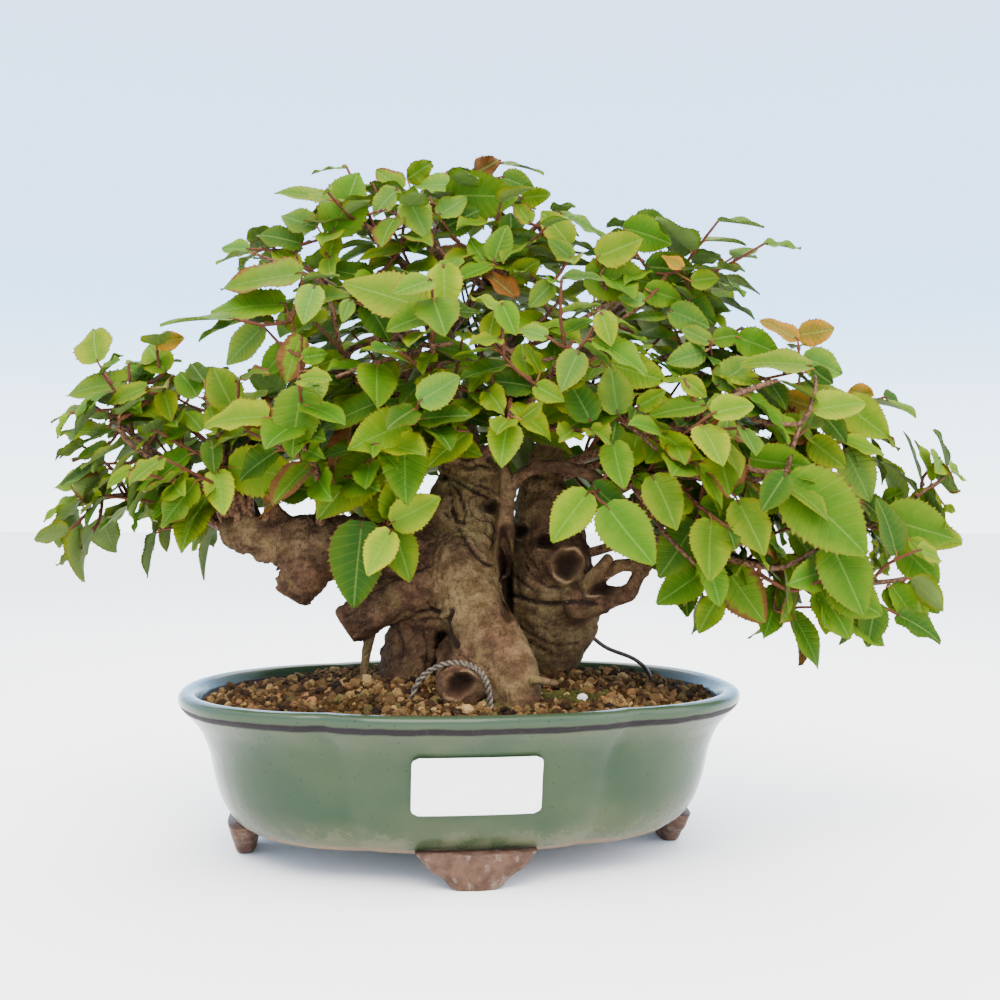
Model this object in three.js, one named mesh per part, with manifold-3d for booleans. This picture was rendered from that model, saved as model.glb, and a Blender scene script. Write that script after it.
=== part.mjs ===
// Korean hornbeam bonsai in a glazed four-lobed pot. Millimetres, +Z up.
// The pot's long axis lies along X and the front of the tree faces -Y. While it is built, the origin is
// on the ground under the middle of the pot. The last lines move it under the middle of the whole plant.
import * as THREE from "three";
import { mergeVertices } from "three/addons/utils/BufferGeometryUtils.js";
import Module from "manifold-3d";

const wasm = await Module();
wasm.setup();

// The pot
const RIM_HALF_LENGTH = 112;
const RIM_HALF_DEPTH = 87;
const POT_FULLNESS = 2.35; // 2 is an ellipse, more is fuller at the corners
const CREASE_ANGLE = (54 * Math.PI) / 180; // from the long axis to where two lobes meet
const CREASE_DEPTH = 0.05; // as a share of the reach
const CREASE_WIDTH = 0.17; // radians
const POT_SIDES = 40;
const BASE_HEIGHT = 12;
const FLOOR_HEIGHT = 18;
const RIM_HEIGHT = 65;
// Height and inset from the rim's outline, up the outside and down the inside
const POT_OUTSIDE = [
  [BASE_HEIGHT, 27],
  [16, 21.5],
  [23, 17],
  [32, 14],
  [42, 11.8],
  [50, 8.6],
  [55.5, 4.6],
  [59.5, 1],
  [62, 0],
  [RIM_HEIGHT, 0.6],
];
const POT_INSIDE = [
  [RIM_HEIGHT, 6.4],
  [60, 8.5],
  [44, 17],
  [FLOOR_HEIGHT, 28],
];
const FOOT_REACH_X = 86;
const FOOT_REACH_Y = 62;
// Height, half width and half thickness of a foot
const FOOT_LEVELS = [
  [0, 9, 3.4],
  [3, 13, 4.8],
  [8, 18, 6],
  [BASE_HEIGHT + 1.5, 22, 6.8],
];
const DRAIN_X = 45;
const DRAIN_RADIUS = 9;
const SCREEN_SIZE = 28;
const SCREEN_THICKNESS = 1.2;
const SCREEN_OPENING = 6;
const LABEL_WIDTH = 45.7;
const LABEL_LEVELS = [28.6, 32, 42, 49.8];
const LABEL_THICKNESS = 0.6;

// The soil
const SOIL_RIM_HEIGHT = 59;
const SOIL_MOUND = 10.5;
const SOIL_RINGS = 5;
const GRANULE_RELIEF = 1.5;

const GAP = 0.35; // between pieces that touch

// The tree is described as seen by an eye in front of it: x to the right and z up in the upright plane
// through the pot's middle, and depth behind that plane. The eye looks a little to the right.
const EYE_DISTANCE = 489;
const EYE_HEIGHT = 131.3;
const EYE_OFFSET = 15.6;
const EYE_TURN = (6.9 * Math.PI) / 180;

// Thick limbs of the trunk: x, z, depth and radius of each point
const CENTRAL_TRUNK = [
  [3, 46, 2, 17],
  [2, 66, 2, 17],
  [0, 94, 0, 19],
  [0, 114, 0, 19],
  [1, 133, 2, 16.5],
  [3, 147, 4, 13],
  [0, 161, 6, 9.5],
  [-6, 180, 9, 6.2],
  [-5, 200, 11, 4.5],
  [-12, 221, 6, 3.4],
  [-11, 241, 2, 2.5],
  [-19, 258, 0, 1.7],
];
const RIGHT_TRUNK = [
  [32, 46, 14, 12],
  [33, 66, 13, 12],
  [36, 80, 12, 14.5],
  [38, 96, 11, 19],
  [36, 112, 10, 17],
  [36, 128, 12, 14.5],
  [33, 142, 15, 10.5],
  [34, 156, 18, 7],
  [41, 174, 19, 5],
  [47, 194, 26, 3.8],
  [61, 216, 29, 2.9],
  [68, 238, 27, 2],
];
const LEFT_BRANCH = [
  [-6, 113, -2, 15],
  [-25, 118, -7, 13.5],
  [-42, 121, -10, 12],
  [-58, 122, -11, 11.5],
  [-75, 123, -10, 10],
  [-88, 126, -9, 8],
  [-97, 127, -7, 6],
];
const ROTTEN_STUB = [
  [-58, 119, -12, 9],
  [-65, 108, -14, 9],
  [-70, 99, -15, 7],
];
const LOW_LEFT_STUB = [
  [-5, 110, -8, 13],
  [-18, 104, -14, 11],
  [-32, 97, -19, 9.2],
  [-48, 87, -22, 7.4],
];
const LEFT_ROOT = [
  [-7, 100, -4, 16],
  [-14, 86, -5, 14],
  [-21, 75, -6, 12.5],
  [-24, 50, -8, 12],
];
const FRONT_ROOT = [
  [-3, 116, -9, 13],
  [1, 103, -17, 13],
  [7, 91, -26, 12.5],
  [12, 82, -33, 12.3],
  [18, 71, -41, 12.5],
  [22, 62, -47, 10],
  [24, 48, -50, 8],
];
const CUT_FRONT_ROOT = [
  [0, 76, -20, 9],
  [-1, 66, -40, 8.5],
  [0, 61, -52, 8],
];
const BACK_LEFT_ROOT = [
  [0, 95, 8, 15],
  [-14, 77, 28, 12],
  [-24, 63, 42, 9],
  [-29, 50, 50, 6],
];
const BACK_RIGHT_ROOT = [
  [19, 112, 15, 10],
  [21, 96, 18, 13],
  [30, 78, 33, 10],
  [36, 63, 42, 7],
  [38, 52, 46, 6],
];
const THIN_LEG = [
  [-36, 92, -17, 2.6],
  [-39, 76, -18, 1.9],
  [-41, 58, -20, 1.7],
];
const KNOT = [
  [42, 116, 0, 11],
  [43, 114, -9, 8.2],
  [43.5, 113.5, -13, 7],
];
const KNOT_HOLLOW = [
  [43, 114, -6, 2.4],
  [43.5, 113.5, -15, 4.6],
];
const SMALL_BRANCH = [
  [15, 110, -10, 5],
  [17.5, 122, -16, 3.8],
  [18.5, 143, -19, 2.8],
  [16.8, 156, -18, 2],
];
const SMALL_BRANCH_ARC = [
  [18.5, 141, -19, 2.8],
  [23, 149, -21, 2.6],
  [33, 153.5, -24, 2.5],
  [48, 152, -27, 2.4],
  [64, 144, -30, 2.2],
];
const RIGHT_STUB_LOW = [
  [44, 97, -4, 9],
  [54, 99, -8, 7],
  [62, 100, -11, 4.5],
  [68, 101.5, -13, 3.6],
  [72, 108, -14, 2.8],
  [76, 113, -14, 2.4],
];
const RIGHT_STUB_HIGH = [
  [50, 104, -6, 4.5],
  [57, 108.5, -11, 3.2],
  [65, 113, -14, 2.6],
  [78, 113.5, -13, 2.2],
];
const THICK_LIMBS = [
  { path: CENTRAL_TRUNK, sides: 9, steps: 1, lean: 0.09 },
  { path: RIGHT_TRUNK, sides: 8, steps: 1, lean: 0.09 },
  { path: LEFT_BRANCH, sides: 8, steps: 1, lean: 0.09 },
  { path: ROTTEN_STUB, sides: 6, steps: 1, lean: 0.2 },
  { path: LOW_LEFT_STUB, sides: 8, steps: 1, lean: 0.07 },
  { path: LEFT_ROOT, sides: 8, steps: 1, lean: 0.09 },
  { path: FRONT_ROOT, sides: 8, steps: 1, lean: 0.07 },
  { path: CUT_FRONT_ROOT, sides: 7, steps: 1, lean: 0.05 },
  { path: BACK_LEFT_ROOT, sides: 7, steps: 1, lean: 0.08 },
  { path: BACK_RIGHT_ROOT, sides: 7, steps: 1, lean: 0.08 },
  { path: THIN_LEG, sides: 4, steps: 1, lean: 0 },
  { path: KNOT, sides: 8, steps: 1, lean: 0 },
  { path: SMALL_BRANCH, sides: 6, steps: 1, lean: 0 },
  { path: SMALL_BRANCH_ARC, sides: 5, steps: 1, lean: 0 },
  { path: RIGHT_STUB_LOW, sides: 6, steps: 1, lean: 0 },
  { path: RIGHT_STUB_HIGH, sides: 5, steps: 1, lean: 0 },
];

// The wires: x, z, depth and radius
const TIE_WIRE = [
  [-22, 54, -46, 1.2],
  [-17, 66, -46, 1.2],
  [-8, 72, -47, 1.2],
  [1, 72.6, -49, 1.2],
  [7.5, 69.5, -55, 1.2],
  [11, 63, -57, 1.2],
  [12, 54, -57, 1.2],
];
const ANCHOR_WIRE = [
  [51, 86, 27, 0.9],
  [59, 79.5, 28, 0.9],
  [71, 74.5, 30, 0.9],
  [77, 68, 31, 0.9],
  [78, 56, 32, 0.9],
];

// Leafy branches. The stem's points are x, z and depth, and it starts at the bark nearest the first one.
// A leaf seen at the front is given by the places of its foot and tip as seen, its depth, how much
// further away its tip lies, and how far the blade is rolled, in degrees.
const SPRAYS = [
  {
    name: "spray_left_low",
    seed: 3,
    stem: [
      [-87, 129, -9], [-98, 140, -12], [-113, 150, -12], [-128, 160, -10], [-140, 170, -8], [-152, 178, -6],
    ],
    leaves: [
      [-138, 188, -164, 185, -10, 4, 35], [-129, 186, -147, 180, -16, -6, 30], [-122, 175, -146, 173, -14, 2, 45],
      [-147, 167, -166, 169, -8, 4, 40],
    ],
  },
  {
    name: "spray_left_back",
    seed: 5,
    stem: [[-78, 129, -4], [-92, 148, 14], [-106, 164, 32], [-122, 176, 44]],
    leaves: [],
  },
  {
    name: "spray_left_tip",
    seed: 7,
    stem: [[-95, 127, -7], [-110, 134, -2], [-126, 139, 6], [-142, 141, 12], [-158, 137, 16]],
    leaves: [
      [-146, 149, -168, 148, 12, 4, 30], [-157, 141, -176, 130, 14, -4, 50], [-129, 154, -121, 133, 2, -6, 10],
    ],
  },
  {
    name: "spray_left_front",
    seed: 11,
    stem: [[-56, 128, -18], [-58, 144, -32], [-64, 160, -44], [-76, 172, -52]],
    leaves: [
      [-66, 186, -71, 158, -56, -6, 0], [-66, 207, -75, 188, -46, 0, 10], [-82, 211, -98, 195, -36, 4, 15],
    ],
  },
  {
    name: "spray_left_rear",
    seed: 13,
    stem: [[-30, 125, 4], [-42, 144, 32], [-56, 164, 54], [-72, 182, 68]],
    leaves: [],
  },
  {
    name: "spray_upper_left",
    seed: 17,
    stem: [[0, 166, 4], [-17, 179, -10], [-34, 187, -22], [-50, 192, -32], [-66, 199, -38]],
    leaves: [
      [-66, 233, -101, 229, -44, 2, 35], [-73, 220, -104, 220, -48, 0, 30], [-94, 214, -124, 215, -56, 0, 60],
    ],
  },
  {
    name: "spray_upper_left_back",
    seed: 19,
    stem: [[-4, 180, 12], [-25, 205, 28], [-48, 224, 38], [-70, 238, 42]],
    leaves: [],
  },
  {
    name: "spray_top_left",
    seed: 23,
    stem: [[-9, 220, 4], [-24, 236, -8], [-38, 251, -16], [-50, 258, -20]],
    leaves: [
      [-54, 249, -41, 275, -26, 4, 10], [-66, 245, -85, 251, -24, 0, 20], [-24, 243, -44, 241, -30, 2, 40],
      [-37, 231, -59, 236, -28, 2, 30],
    ],
  },
  {
    name: "spray_top",
    seed: 29,
    stem: [[-14, 244, 2], [-8, 254, 14], [4, 262, 24], [14, 265, 32]],
    leaves: [
      [-7, 265, 23, 266, -10, 2, 35],
    ],
  },
  {
    name: "spray_top_right",
    seed: 31,
    stem: [[-7, 208, 6], [9, 228, 2], [24, 246, -4], [36, 258, -8]],
    leaves: [
      [44, 245, 33, 260, -22, 2, 0], [18, 237, 22, 259, -16, 4, 10], [-9, 251, 7, 260, -14, 2, 20],
      [22, 223, 9, 235, -30, 2, 30],
    ],
  },
  {
    name: "spray_front",
    seed: 37,
    stem: [[0, 160, -2], [-4, 176, -26], [-10, 194, -44], [-15, 212, -52]],
    leaves: [
      [-8, 237, -6, 216, -62, -4, 0], [-16, 219, -50, 230, -56, 2, 20], [30, 186, 10, 191, -50, 2, 15],
      [-40, 222, -29, 206, -50, 0, 0],
    ],
  },
  {
    name: "spray_front_right",
    seed: 41,
    stem: [[5, 152, -2], [20, 170, -22], [34, 188, -38], [45, 205, -48]],
    leaves: [
      [53, 172, 44, 190, -50, 4, 0],
    ],
  },
  {
    name: "spray_right_front",
    seed: 43,
    stem: [[40, 152, 8], [58, 160, -16], [78, 167, -32], [98, 170, -42]],
    leaves: [
      [64, 175, 61, 196, -44, 4, 0], [61, 196, 83, 188, -28, -4, 10], [100, 179, 76, 176, -50, 0, 40],
    ],
  },
  {
    name: "spray_right_long",
    seed: 47,
    stem: [[44, 148, 16], [66, 158, 12], [94, 166, 6], [122, 170, 2], [147, 172, -2], [166, 168, -4]],
    leaves: [
      [143, 165, 157, 153, -22, -4, 20], [156, 181, 175, 165, -12, -2, 15], [132, 182, 149, 176, -24, -2, 40],
      [140, 199, 157, 192, -14, 2, 20], [157, 161, 169, 140, -16, -4, 0],
    ],
  },
  {
    name: "spray_right_tip",
    seed: 53,
    stem: [
      [50, 134, 10], [85, 141, 18], [120, 137, 20], [150, 132, 18], [172, 132, 14], [186, 141, 12], [198, 149, 10],
    ],
    leaves: [
      [172, 133, 203, 124, -2, 2, 20], [182, 129, 207, 119, 0, 4, 50], [185, 143, 199, 130, 8, 0, 10],
      [180, 121, 197, 106, -4, 0, 30],
    ],
  },
  {
    name: "spray_right_low",
    seed: 59,
    stem: [[52, 128, 6], [80, 124, -8], [110, 117, -14], [138, 110, -18], [165, 106, -16], [182, 108, -12]],
    leaves: [
      [98, 110, 81, 97, -24, -4, 5], [107, 113, 125, 90, -24, -6, 20], [146, 104, 161, 84, -30, -4, 0],
      [151, 123, 166, 93, -38, -6, 0], [170, 98, 166, 80, -28, -2, 0], [185, 108, 196, 93, -8, 0, 40],
    ],
  },
  {
    name: "spray_right_back",
    seed: 61,
    stem: [[40, 150, 24], [60, 160, 46], [86, 170, 62], [112, 178, 72]],
    leaves: [],
  },
  {
    name: "spray_upper_right",
    seed: 67,
    stem: [[44, 178, 20], [64, 190, 8], [88, 200, -2], [112, 206, -8]],
    leaves: [
      [89, 225, 103, 211, -6, -2, 20], [85, 218, 102, 212, -14, -2, 30], [113, 207, 131, 201, -12, 0, 30],
      [104, 187, 121, 198, -22, 0, 0], [144, 195, 115, 200, -20, 2, 40],
    ],
  },
  {
    name: "spray_top_right_low",
    seed: 71,
    stem: [[62, 218, 26], [76, 226, 10], [92, 232, 0], [104, 232, -6]],
    leaves: [
      [55, 240, 75, 247, -20, 2, 10], [50, 232, 78, 229, -16, 2, 15], [66, 252, 87, 247, -6, 4, 30],
      [75, 236, 96, 234, -6, 4, 40],
    ],
  },
  {
    name: "spray_top_right_back",
    seed: 73,
    stem: [[52, 196, 28], [66, 214, 46], [82, 226, 58], [98, 230, 66]],
    leaves: [],
  },
  {
    name: "spray_back",
    seed: 79,
    stem: [[3, 160, 18], [5, 184, 42], [8, 208, 60], [12, 232, 68]],
    leaves: [],
  },
  {
    name: "spray_left_mid",
    seed: 89,
    stem: [[-84, 129, -10], [-91, 140, -15], [-97, 154, -18], [-100, 168, -20], [-106, 182, -20]],
    leaves: [
      [-94, 177, -104, 195, -26, 6, 0], [-96, 153, -66, 149, -24, -4, 25], [-100, 152, -100, 134, -30, -6, 0],
    ],
  },
  {
    name: "spray_front_left",
    seed: 97,
    stem: [[-5, 160, -4], [-17, 164, -24], [-32, 166, -38], [-46, 172, -44]],
    leaves: [
      [-34, 161, -59, 132, -28, -6, 5], [-45, 170, -57, 148, -46, 2, 50], [-23, 167, -25, 139, -48, -8, 0],
      [-34, 180, -59, 171, -42, 4, 30], [-19, 173, -39, 173, -50, -2, 35], [-18, 180, 0, 190, -56, 4, 10],
      [3, 168, -15, 155, -54, -2, 20],
    ],
  },
  {
    name: "spray_cluster",
    seed: 101,
    stem: [[-33, 121, -8], [-32, 126, -26], [-31, 129, -34]],
    leaves: [
      [-29, 130, -9, 140, -40, -2, 15], [-29, 127, -40, 110, -46, -6, 0], [-41, 131, -45, 96, -36, -6, 5],
      [-28, 127, -20, 107, -40, -4, 0],
    ],
  },
  {
    name: "spray_arc",
    seed: 103,
    stem: [[64, 144, -30], [81, 151, -36], [106, 148, -38], [132, 149, -36]],
    leaves: [
      [62, 164, 65, 145, -52, -6, 0], [53, 146, 68, 134, -44, -4, 0], [52, 143, 36, 124, -46, -4, 5],
      [59, 138, 77, 113, -56, -8, 0], [78, 150, 90, 129, -54, -6, 0], [113, 140, 125, 118, -50, -6, 0],
      [99, 117, 100, 135, -36, 4, 10], [96, 131, 82, 108, -34, -4, 5], [133, 151, 123, 136, -44, -2, 0],
      [133, 149, 168, 119, -44, -6, 5], [118, 157, 144, 153, -44, -2, 40],
    ],
  },
];

const STEM_RADIUS = [2.1, 0.9]; // at the foot and at the tip
const STEM_SIDES = 4;
const SHOOT_RADIUS = 0.75;
const SHOOT_FIRST = 18; // along the stem, from its foot
const SHOOT_SPACING = 22;
const FRONT_SHOOT_SPACING = 52; // on branches with leaves placed by eye
const SHOOT_LENGTH = [24, 42];
const TWIG_GAP = 9; // a leaf further from the wood than this has a twig of its own
const STALK_RADIUS = 0.45;
const SHORT_STALK = 5;
const ROOT_DEPTH = 0.2; // how far a stalk reaches past the middle of the wood it grows from
const TWIG_SAG = 0.08; // of its length
const STALK_SHARE = 0.14; // of a leaf's length
const BIG_LEAF = 33;
const LEAF_SPACING = 16;
const LEAF_LENGTH = [19, 33];
const LEAF_SHAPE = 0.33; // half width as a share of the length
const BLADE_THICKNESS = 0.9; // at the midrib
const FOOT_HALF_WIDTH = 0.6; // where the blade starts
// The crown is roughly this ellipsoid, and the leaves face out of it: middle and half sizes
const CROWN_MIDDLE = [14, 18, 148];
const CROWN_HALF = [195, 115, 118];

// Numbers between 0 and 1 that are the same on every run.
function makeRandom(seed) {
  let state = seed * 7919;
  return () => {
    state = (state * 1664525 + 1013904223) % 4294967296;
    return state / 4294967296;
  };
}

// Vectors are arrays of three numbers.
const add = (a, b) => [a[0] + b[0], a[1] + b[1], a[2] + b[2]];
const sub = (a, b) => [a[0] - b[0], a[1] - b[1], a[2] - b[2]];
const scale = (a, s) => [a[0] * s, a[1] * s, a[2] * s];
const dot = (a, b) => a[0] * b[0] + a[1] * b[1] + a[2] * b[2];
const cross = (a, b) => [a[1] * b[2] - a[2] * b[1], a[2] * b[0] - a[0] * b[2], a[0] * b[1] - a[1] * b[0]];
const size = (a) => Math.sqrt(dot(a, a));
const unit = (a) => scale(a, 1 / size(a));
const mix = (a, b, t) => a + (b - a) * t;
const along = (a, b, t) => add(a, scale(sub(b, a), t));
const square = (a, n) => unit(sub(a, scale(n, dot(a, n)))); // the part of a that is square to n

// A point described as seen from the front, in the pot's own axes.
function seen(x, z, depth) {
  const nearer = (EYE_DISTANCE + depth) / EYE_DISTANCE;
  const right = (x - EYE_OFFSET) * nearer + EYE_OFFSET;
  return [
    right * Math.cos(EYE_TURN) + depth * Math.sin(EYE_TURN),
    -right * Math.sin(EYE_TURN) + depth * Math.cos(EYE_TURN),
    EYE_HEIGHT + (z - EYE_HEIGHT) * nearer,
  ];
}

// A direction as seen from the front, in the pot's own axes.
function seenWay(x, z, depth) {
  return [
    x * Math.cos(EYE_TURN) + depth * Math.sin(EYE_TURN),
    -x * Math.sin(EYE_TURN) + depth * Math.cos(EYE_TURN),
    z,
  ];
}

// A smooth path through points of any number of values, with some steps to each span.
function smoothPath(points, steps) {
  const path = [];
  for (let i = 0; i < points.length - 1; i++) {
    const before = points[Math.max(i - 1, 0)];
    const start = points[i];
    const end = points[i + 1];
    const after = points[Math.min(i + 2, points.length - 1)];
    for (let k = 0; k < steps; k++) {
      const t = k / steps;
      path.push(
        start.map((value, j) => {
          const pull = end[j] - before[j];
          const push = 2 * before[j] - 5 * value + 4 * end[j] - after[j];
          const bend = 3 * value - before[j] - 3 * end[j] + after[j];
          return value + 0.5 * (pull * t + push * t * t + bend * t * t * t);
        }),
      );
    }
  }
  path.push(points[points.length - 1]);
  return path;
}

// A closed solid from corner points and triangles.
function solid(points, triangles) {
  const geometry = new THREE.BufferGeometry();
  geometry.setAttribute("position", new THREE.Float32BufferAttribute(points.flat(), 3));
  geometry.setIndex(triangles.flat());
  const merged = mergeVertices(geometry, 1e-4);
  return new wasm.Manifold(
    new wasm.Mesh({
      numProp: 3,
      vertProperties: merged.attributes.position.array,
      triVerts: new Uint32Array(merged.index.array),
    }),
  );
}

// Joins rings of equally many points, each anticlockwise as seen from the last, and closes both ends.
function loft(rings) {
  const count = rings[0].length;
  const points = rings.flat();
  const triangles = [];
  for (let i = 0; i < rings.length - 1; i++) {
    for (let k = 0; k < count; k++) {
      const next = (k + 1) % count;
      const a = i * count + k;
      const b = i * count + next;
      triangles.push([a, b, b + count], [a, b + count, a + count]);
    }
  }
  const last = (rings.length - 1) * count;
  for (let k = 1; k < count - 1; k++) {
    triangles.push([0, k + 1, k], [last, last + k, last + k + 1]);
  }
  return solid(points, triangles);
}

// Frames along a path: at each point, two directions square to the path that turn as little as possible.
function pathFrames(path) {
  let side = [0.31, 0.17, 0.93];
  return path.map((point, i) => {
    const before = path[Math.max(i - 1, 0)];
    const after = path[Math.min(i + 1, path.length - 1)];
    const way = unit(sub(after, before));
    side = square(side, way);
    return { side, up: cross(way, side), way };
  });
}

// A limb: a bar along a path of x, y, z and radius. lean makes its section uneven.
function limb(path, sides, lean, grow) {
  const frames = pathFrames(path);
  const rings = path.map((point, i) => {
    const ring = [];
    for (let k = 0; k < sides; k++) {
      const angle = (2 * Math.PI * k) / sides;
      const uneven = 1 + lean * (Math.sin(3 * angle + 1.3 * i) + 0.6 * Math.cos(2 * angle + 2.1 * i));
      const radius = point[3] * uneven + grow;
      const out = add(scale(frames[i].side, Math.cos(angle)), scale(frames[i].up, Math.sin(angle)));
      ring.push(add(point, scale(out, radius)));
    }
    return ring;
  });
  return loft(rings);
}

// A described limb in the pot's axes: each point is x, y, z and radius.
function placed(path, steps) {
  const points = path.map(([x, z, depth, radius]) => [...seen(x, z, depth), radius]);
  return smoothPath(points, steps);
}

function joined(solids) {
  return wasm.Manifold.union(solids);
}

// The pot's outline at an angle round its middle, this far inside the rim.
function potOutline(angle, inset) {
  const across = Math.abs(Math.cos(angle)) / (RIM_HALF_LENGTH - inset);
  const deep = Math.abs(Math.sin(angle)) / (RIM_HALF_DEPTH - inset);
  const reach = Math.pow(across ** POT_FULLNESS + deep ** POT_FULLNESS, -1 / POT_FULLNESS);
  const fromAxis = Math.atan2(Math.abs(Math.sin(angle)), Math.abs(Math.cos(angle)));
  const crease = CREASE_DEPTH * Math.exp(-Math.abs(fromAxis - CREASE_ANGLE) / CREASE_WIDTH);
  return [reach * (1 - crease) * Math.cos(angle), reach * (1 - crease) * Math.sin(angle)];
}

function potRing(height, inset) {
  const ring = [];
  for (let k = 0; k < POT_SIDES; k++) {
    ring.push([...potOutline((2 * Math.PI * k) / POT_SIDES, inset), height]);
  }
  return ring;
}

// A foot is a cloud-shaped bracket: its middle, and whether it is wide along Y.
function makeFoot(x, y, alongY) {
  const corners = 10;
  const rings = FOOT_LEVELS.map(([height, halfWidth, halfThickness]) => {
    const ring = [];
    for (let k = 0; k < corners; k++) {
      const angle = (2 * Math.PI * k) / corners;
      const wide = halfWidth * Math.cos(angle);
      const thick = halfThickness * Math.sign(Math.sin(angle)) * Math.sqrt(Math.abs(Math.sin(angle)));
      ring.push(alongY ? [x - thick, y + wide, height] : [x + wide, y + thick, height]);
    }
    return ring;
  });
  return loft(rings);
}

// An upright round bar, for holes.
function upright(x, y, radius, low, high) {
  const ring = (height) =>
    [...Array(12).keys()].map((k) => {
      const angle = (2 * Math.PI * k) / 12;
      return [x + radius * Math.cos(angle), y + radius * Math.sin(angle), height];
    });
  return loft([ring(low), ring(high)]);
}

// A block between two opposite corners.
function block(low, high) {
  const ring = (height) => [
    [low[0], low[1], height],
    [high[0], low[1], height],
    [high[0], high[1], height],
    [low[0], high[1], height],
  ];
  return loft([ring(low[2]), ring(high[2])]);
}

function makePot() {
  const outside = POT_OUTSIDE.map(([height, inset]) => potRing(height, inset));
  const inside = POT_INSIDE.map(([height, inset]) => potRing(height, inset));
  const feet = [
    makeFoot(-FOOT_REACH_X, 0, true),
    makeFoot(FOOT_REACH_X, 0, true),
    makeFoot(0, -FOOT_REACH_Y, false),
    makeFoot(0, FOOT_REACH_Y, false),
  ];
  const drains = [-DRAIN_X, DRAIN_X].map((x) =>
    upright(x, 0, DRAIN_RADIUS, BASE_HEIGHT - 1, FLOOR_HEIGHT + 1),
  );
  return joined([loft([...outside, ...inside]), ...feet]).subtract(joined(drains));
}

// The wall's outside at a height: how far it lies inside the rim's outline.
function wallInset(height) {
  const i = POT_OUTSIDE.findIndex((level) => level[0] >= height);
  const [low, lowInset] = POT_OUTSIDE[Math.max(i - 1, 0)];
  const [high, highInset] = POT_OUTSIDE[i];
  return mix(lowInset, highInset, (height - low) / (high - low));
}

// The blank label lies on the front wall, so it bends with it.
function makeLabel() {
  const columns = 7;
  const sheet = (proud) =>
    LABEL_LEVELS.map((height) => {
      const inset = wallInset(height) - proud;
      const deep = RIM_HALF_DEPTH - inset;
      return [...Array(columns).keys()].map((k) => {
        const x = mix(-LABEL_WIDTH / 2, LABEL_WIDTH / 2, k / (columns - 1)) - 1;
        const across = Math.abs(x) / (RIM_HALF_LENGTH - inset);
        return [x, -deep * Math.pow(1 - across ** POT_FULLNESS, 1 / POT_FULLNESS), height];
      });
    });
  const back = sheet(GAP);
  const front = sheet(GAP + LABEL_THICKNESS);
  const rings = back.map((row, i) => [...front[i], ...row.toReversed()]);
  const count = columns * 2;
  const points = rings.flat();
  const triangles = [];
  for (let i = 0; i < rings.length - 1; i++) {
    for (let k = 0; k < count; k++) {
      const a = i * count + k;
      const b = i * count + ((k + 1) % count);
      triangles.push([a, b, b + count], [a, b + count, a + count]);
    }
  }
  const last = (rings.length - 1) * count;
  for (let k = 0; k < columns - 1; k++) {
    const a = k;
    const b = count - 1 - k;
    triangles.push([a, b, b - 1], [a, b - 1, a + 1]);
    triangles.push([last + a, last + b - 1, last + b], [last + a, last + a + 1, last + b - 1]);
  }
  return solid(points, triangles);
}

function makeScreen(x) {
  const half = SCREEN_SIZE / 2;
  const low = FLOOR_HEIGHT + GAP;
  const high = low + SCREEN_THICKNESS;
  const openings = [];
  for (const across of [-1, 1]) {
    for (const deep of [-1, 1]) {
      const middle = [x + (across * (SCREEN_OPENING + 2)) / 2, (deep * (SCREEN_OPENING + 2)) / 2];
      openings.push(
        block(
          [middle[0] - SCREEN_OPENING / 2, middle[1] - SCREEN_OPENING / 2, low - 1],
          [middle[0] + SCREEN_OPENING / 2, middle[1] + SCREEN_OPENING / 2, high + 1],
        ),
      );
    }
  }
  return block([x - half, -half, low], [x + half, half, high]).subtract(joined(openings));
}

// The soil fills the pot, with a mounded top of granules, and leaves plain holes for what stands in it.
function makeSoil(standing) {
  const random = makeRandom(2);
  const clearOfWall = 0.5;
  const levels = POT_INSIDE.filter(([height]) => height < SOIL_RIM_HEIGHT).toReversed();
  const sides = levels.map(([height, inset]) => potRing(height + GAP, inset + clearOfWall));
  const [high, highInset] = POT_INSIDE[1];
  const [low, lowInset] = POT_INSIDE[2];
  const topInset = mix(highInset, lowInset, (high - SOIL_RIM_HEIGHT) / (high - low)) + clearOfWall;
  const rings = [...sides, potRing(SOIL_RIM_HEIGHT, topInset)];
  for (let i = 1; i < SOIL_RINGS; i++) {
    const share = 1 - i / SOIL_RINGS;
    const height = SOIL_RIM_HEIGHT + SOIL_MOUND * (1 - share ** 1.7);
    rings.push(
      potRing(height, topInset).map(([x, y, z]) => {
        const shift = share + (random() - 0.5) * (0.5 / SOIL_RINGS);
        return [x * shift, y * shift, z + (random() - 0.5) * 2 * GRANULE_RELIEF];
      }),
    );
  }
  const pockets = [-DRAIN_X, DRAIN_X].map((x) => {
    const half = SCREEN_SIZE / 2 + GAP;
    return block([x - half, -half, 0], [x + half, half, FLOOR_HEIGHT + SCREEN_THICKNESS + 3 * GAP]);
  });
  return loft(rings).subtract(joined([...standing, ...pockets]));
}

function makeTrunk(grow) {
  const limbs = THICK_LIMBS.map(({ path, sides, steps, lean }) => limb(placed(path, steps), sides, lean, grow));
  return joined(limbs).subtract(limb(placed(KNOT_HOLLOW, 1), 8, 0, 0));
}

// Everything that later pieces have to stay clear of, as small balls: middle, radius, owner and wood or not.
const taken = [];
const OWN_WOOD_SHARE = 0.4; // how much closer a branch's own wood may come
const OWN_LEAF_SHARE = 0.85;
const LOWEST_LEAF = RIM_HEIGHT + 8;

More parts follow.
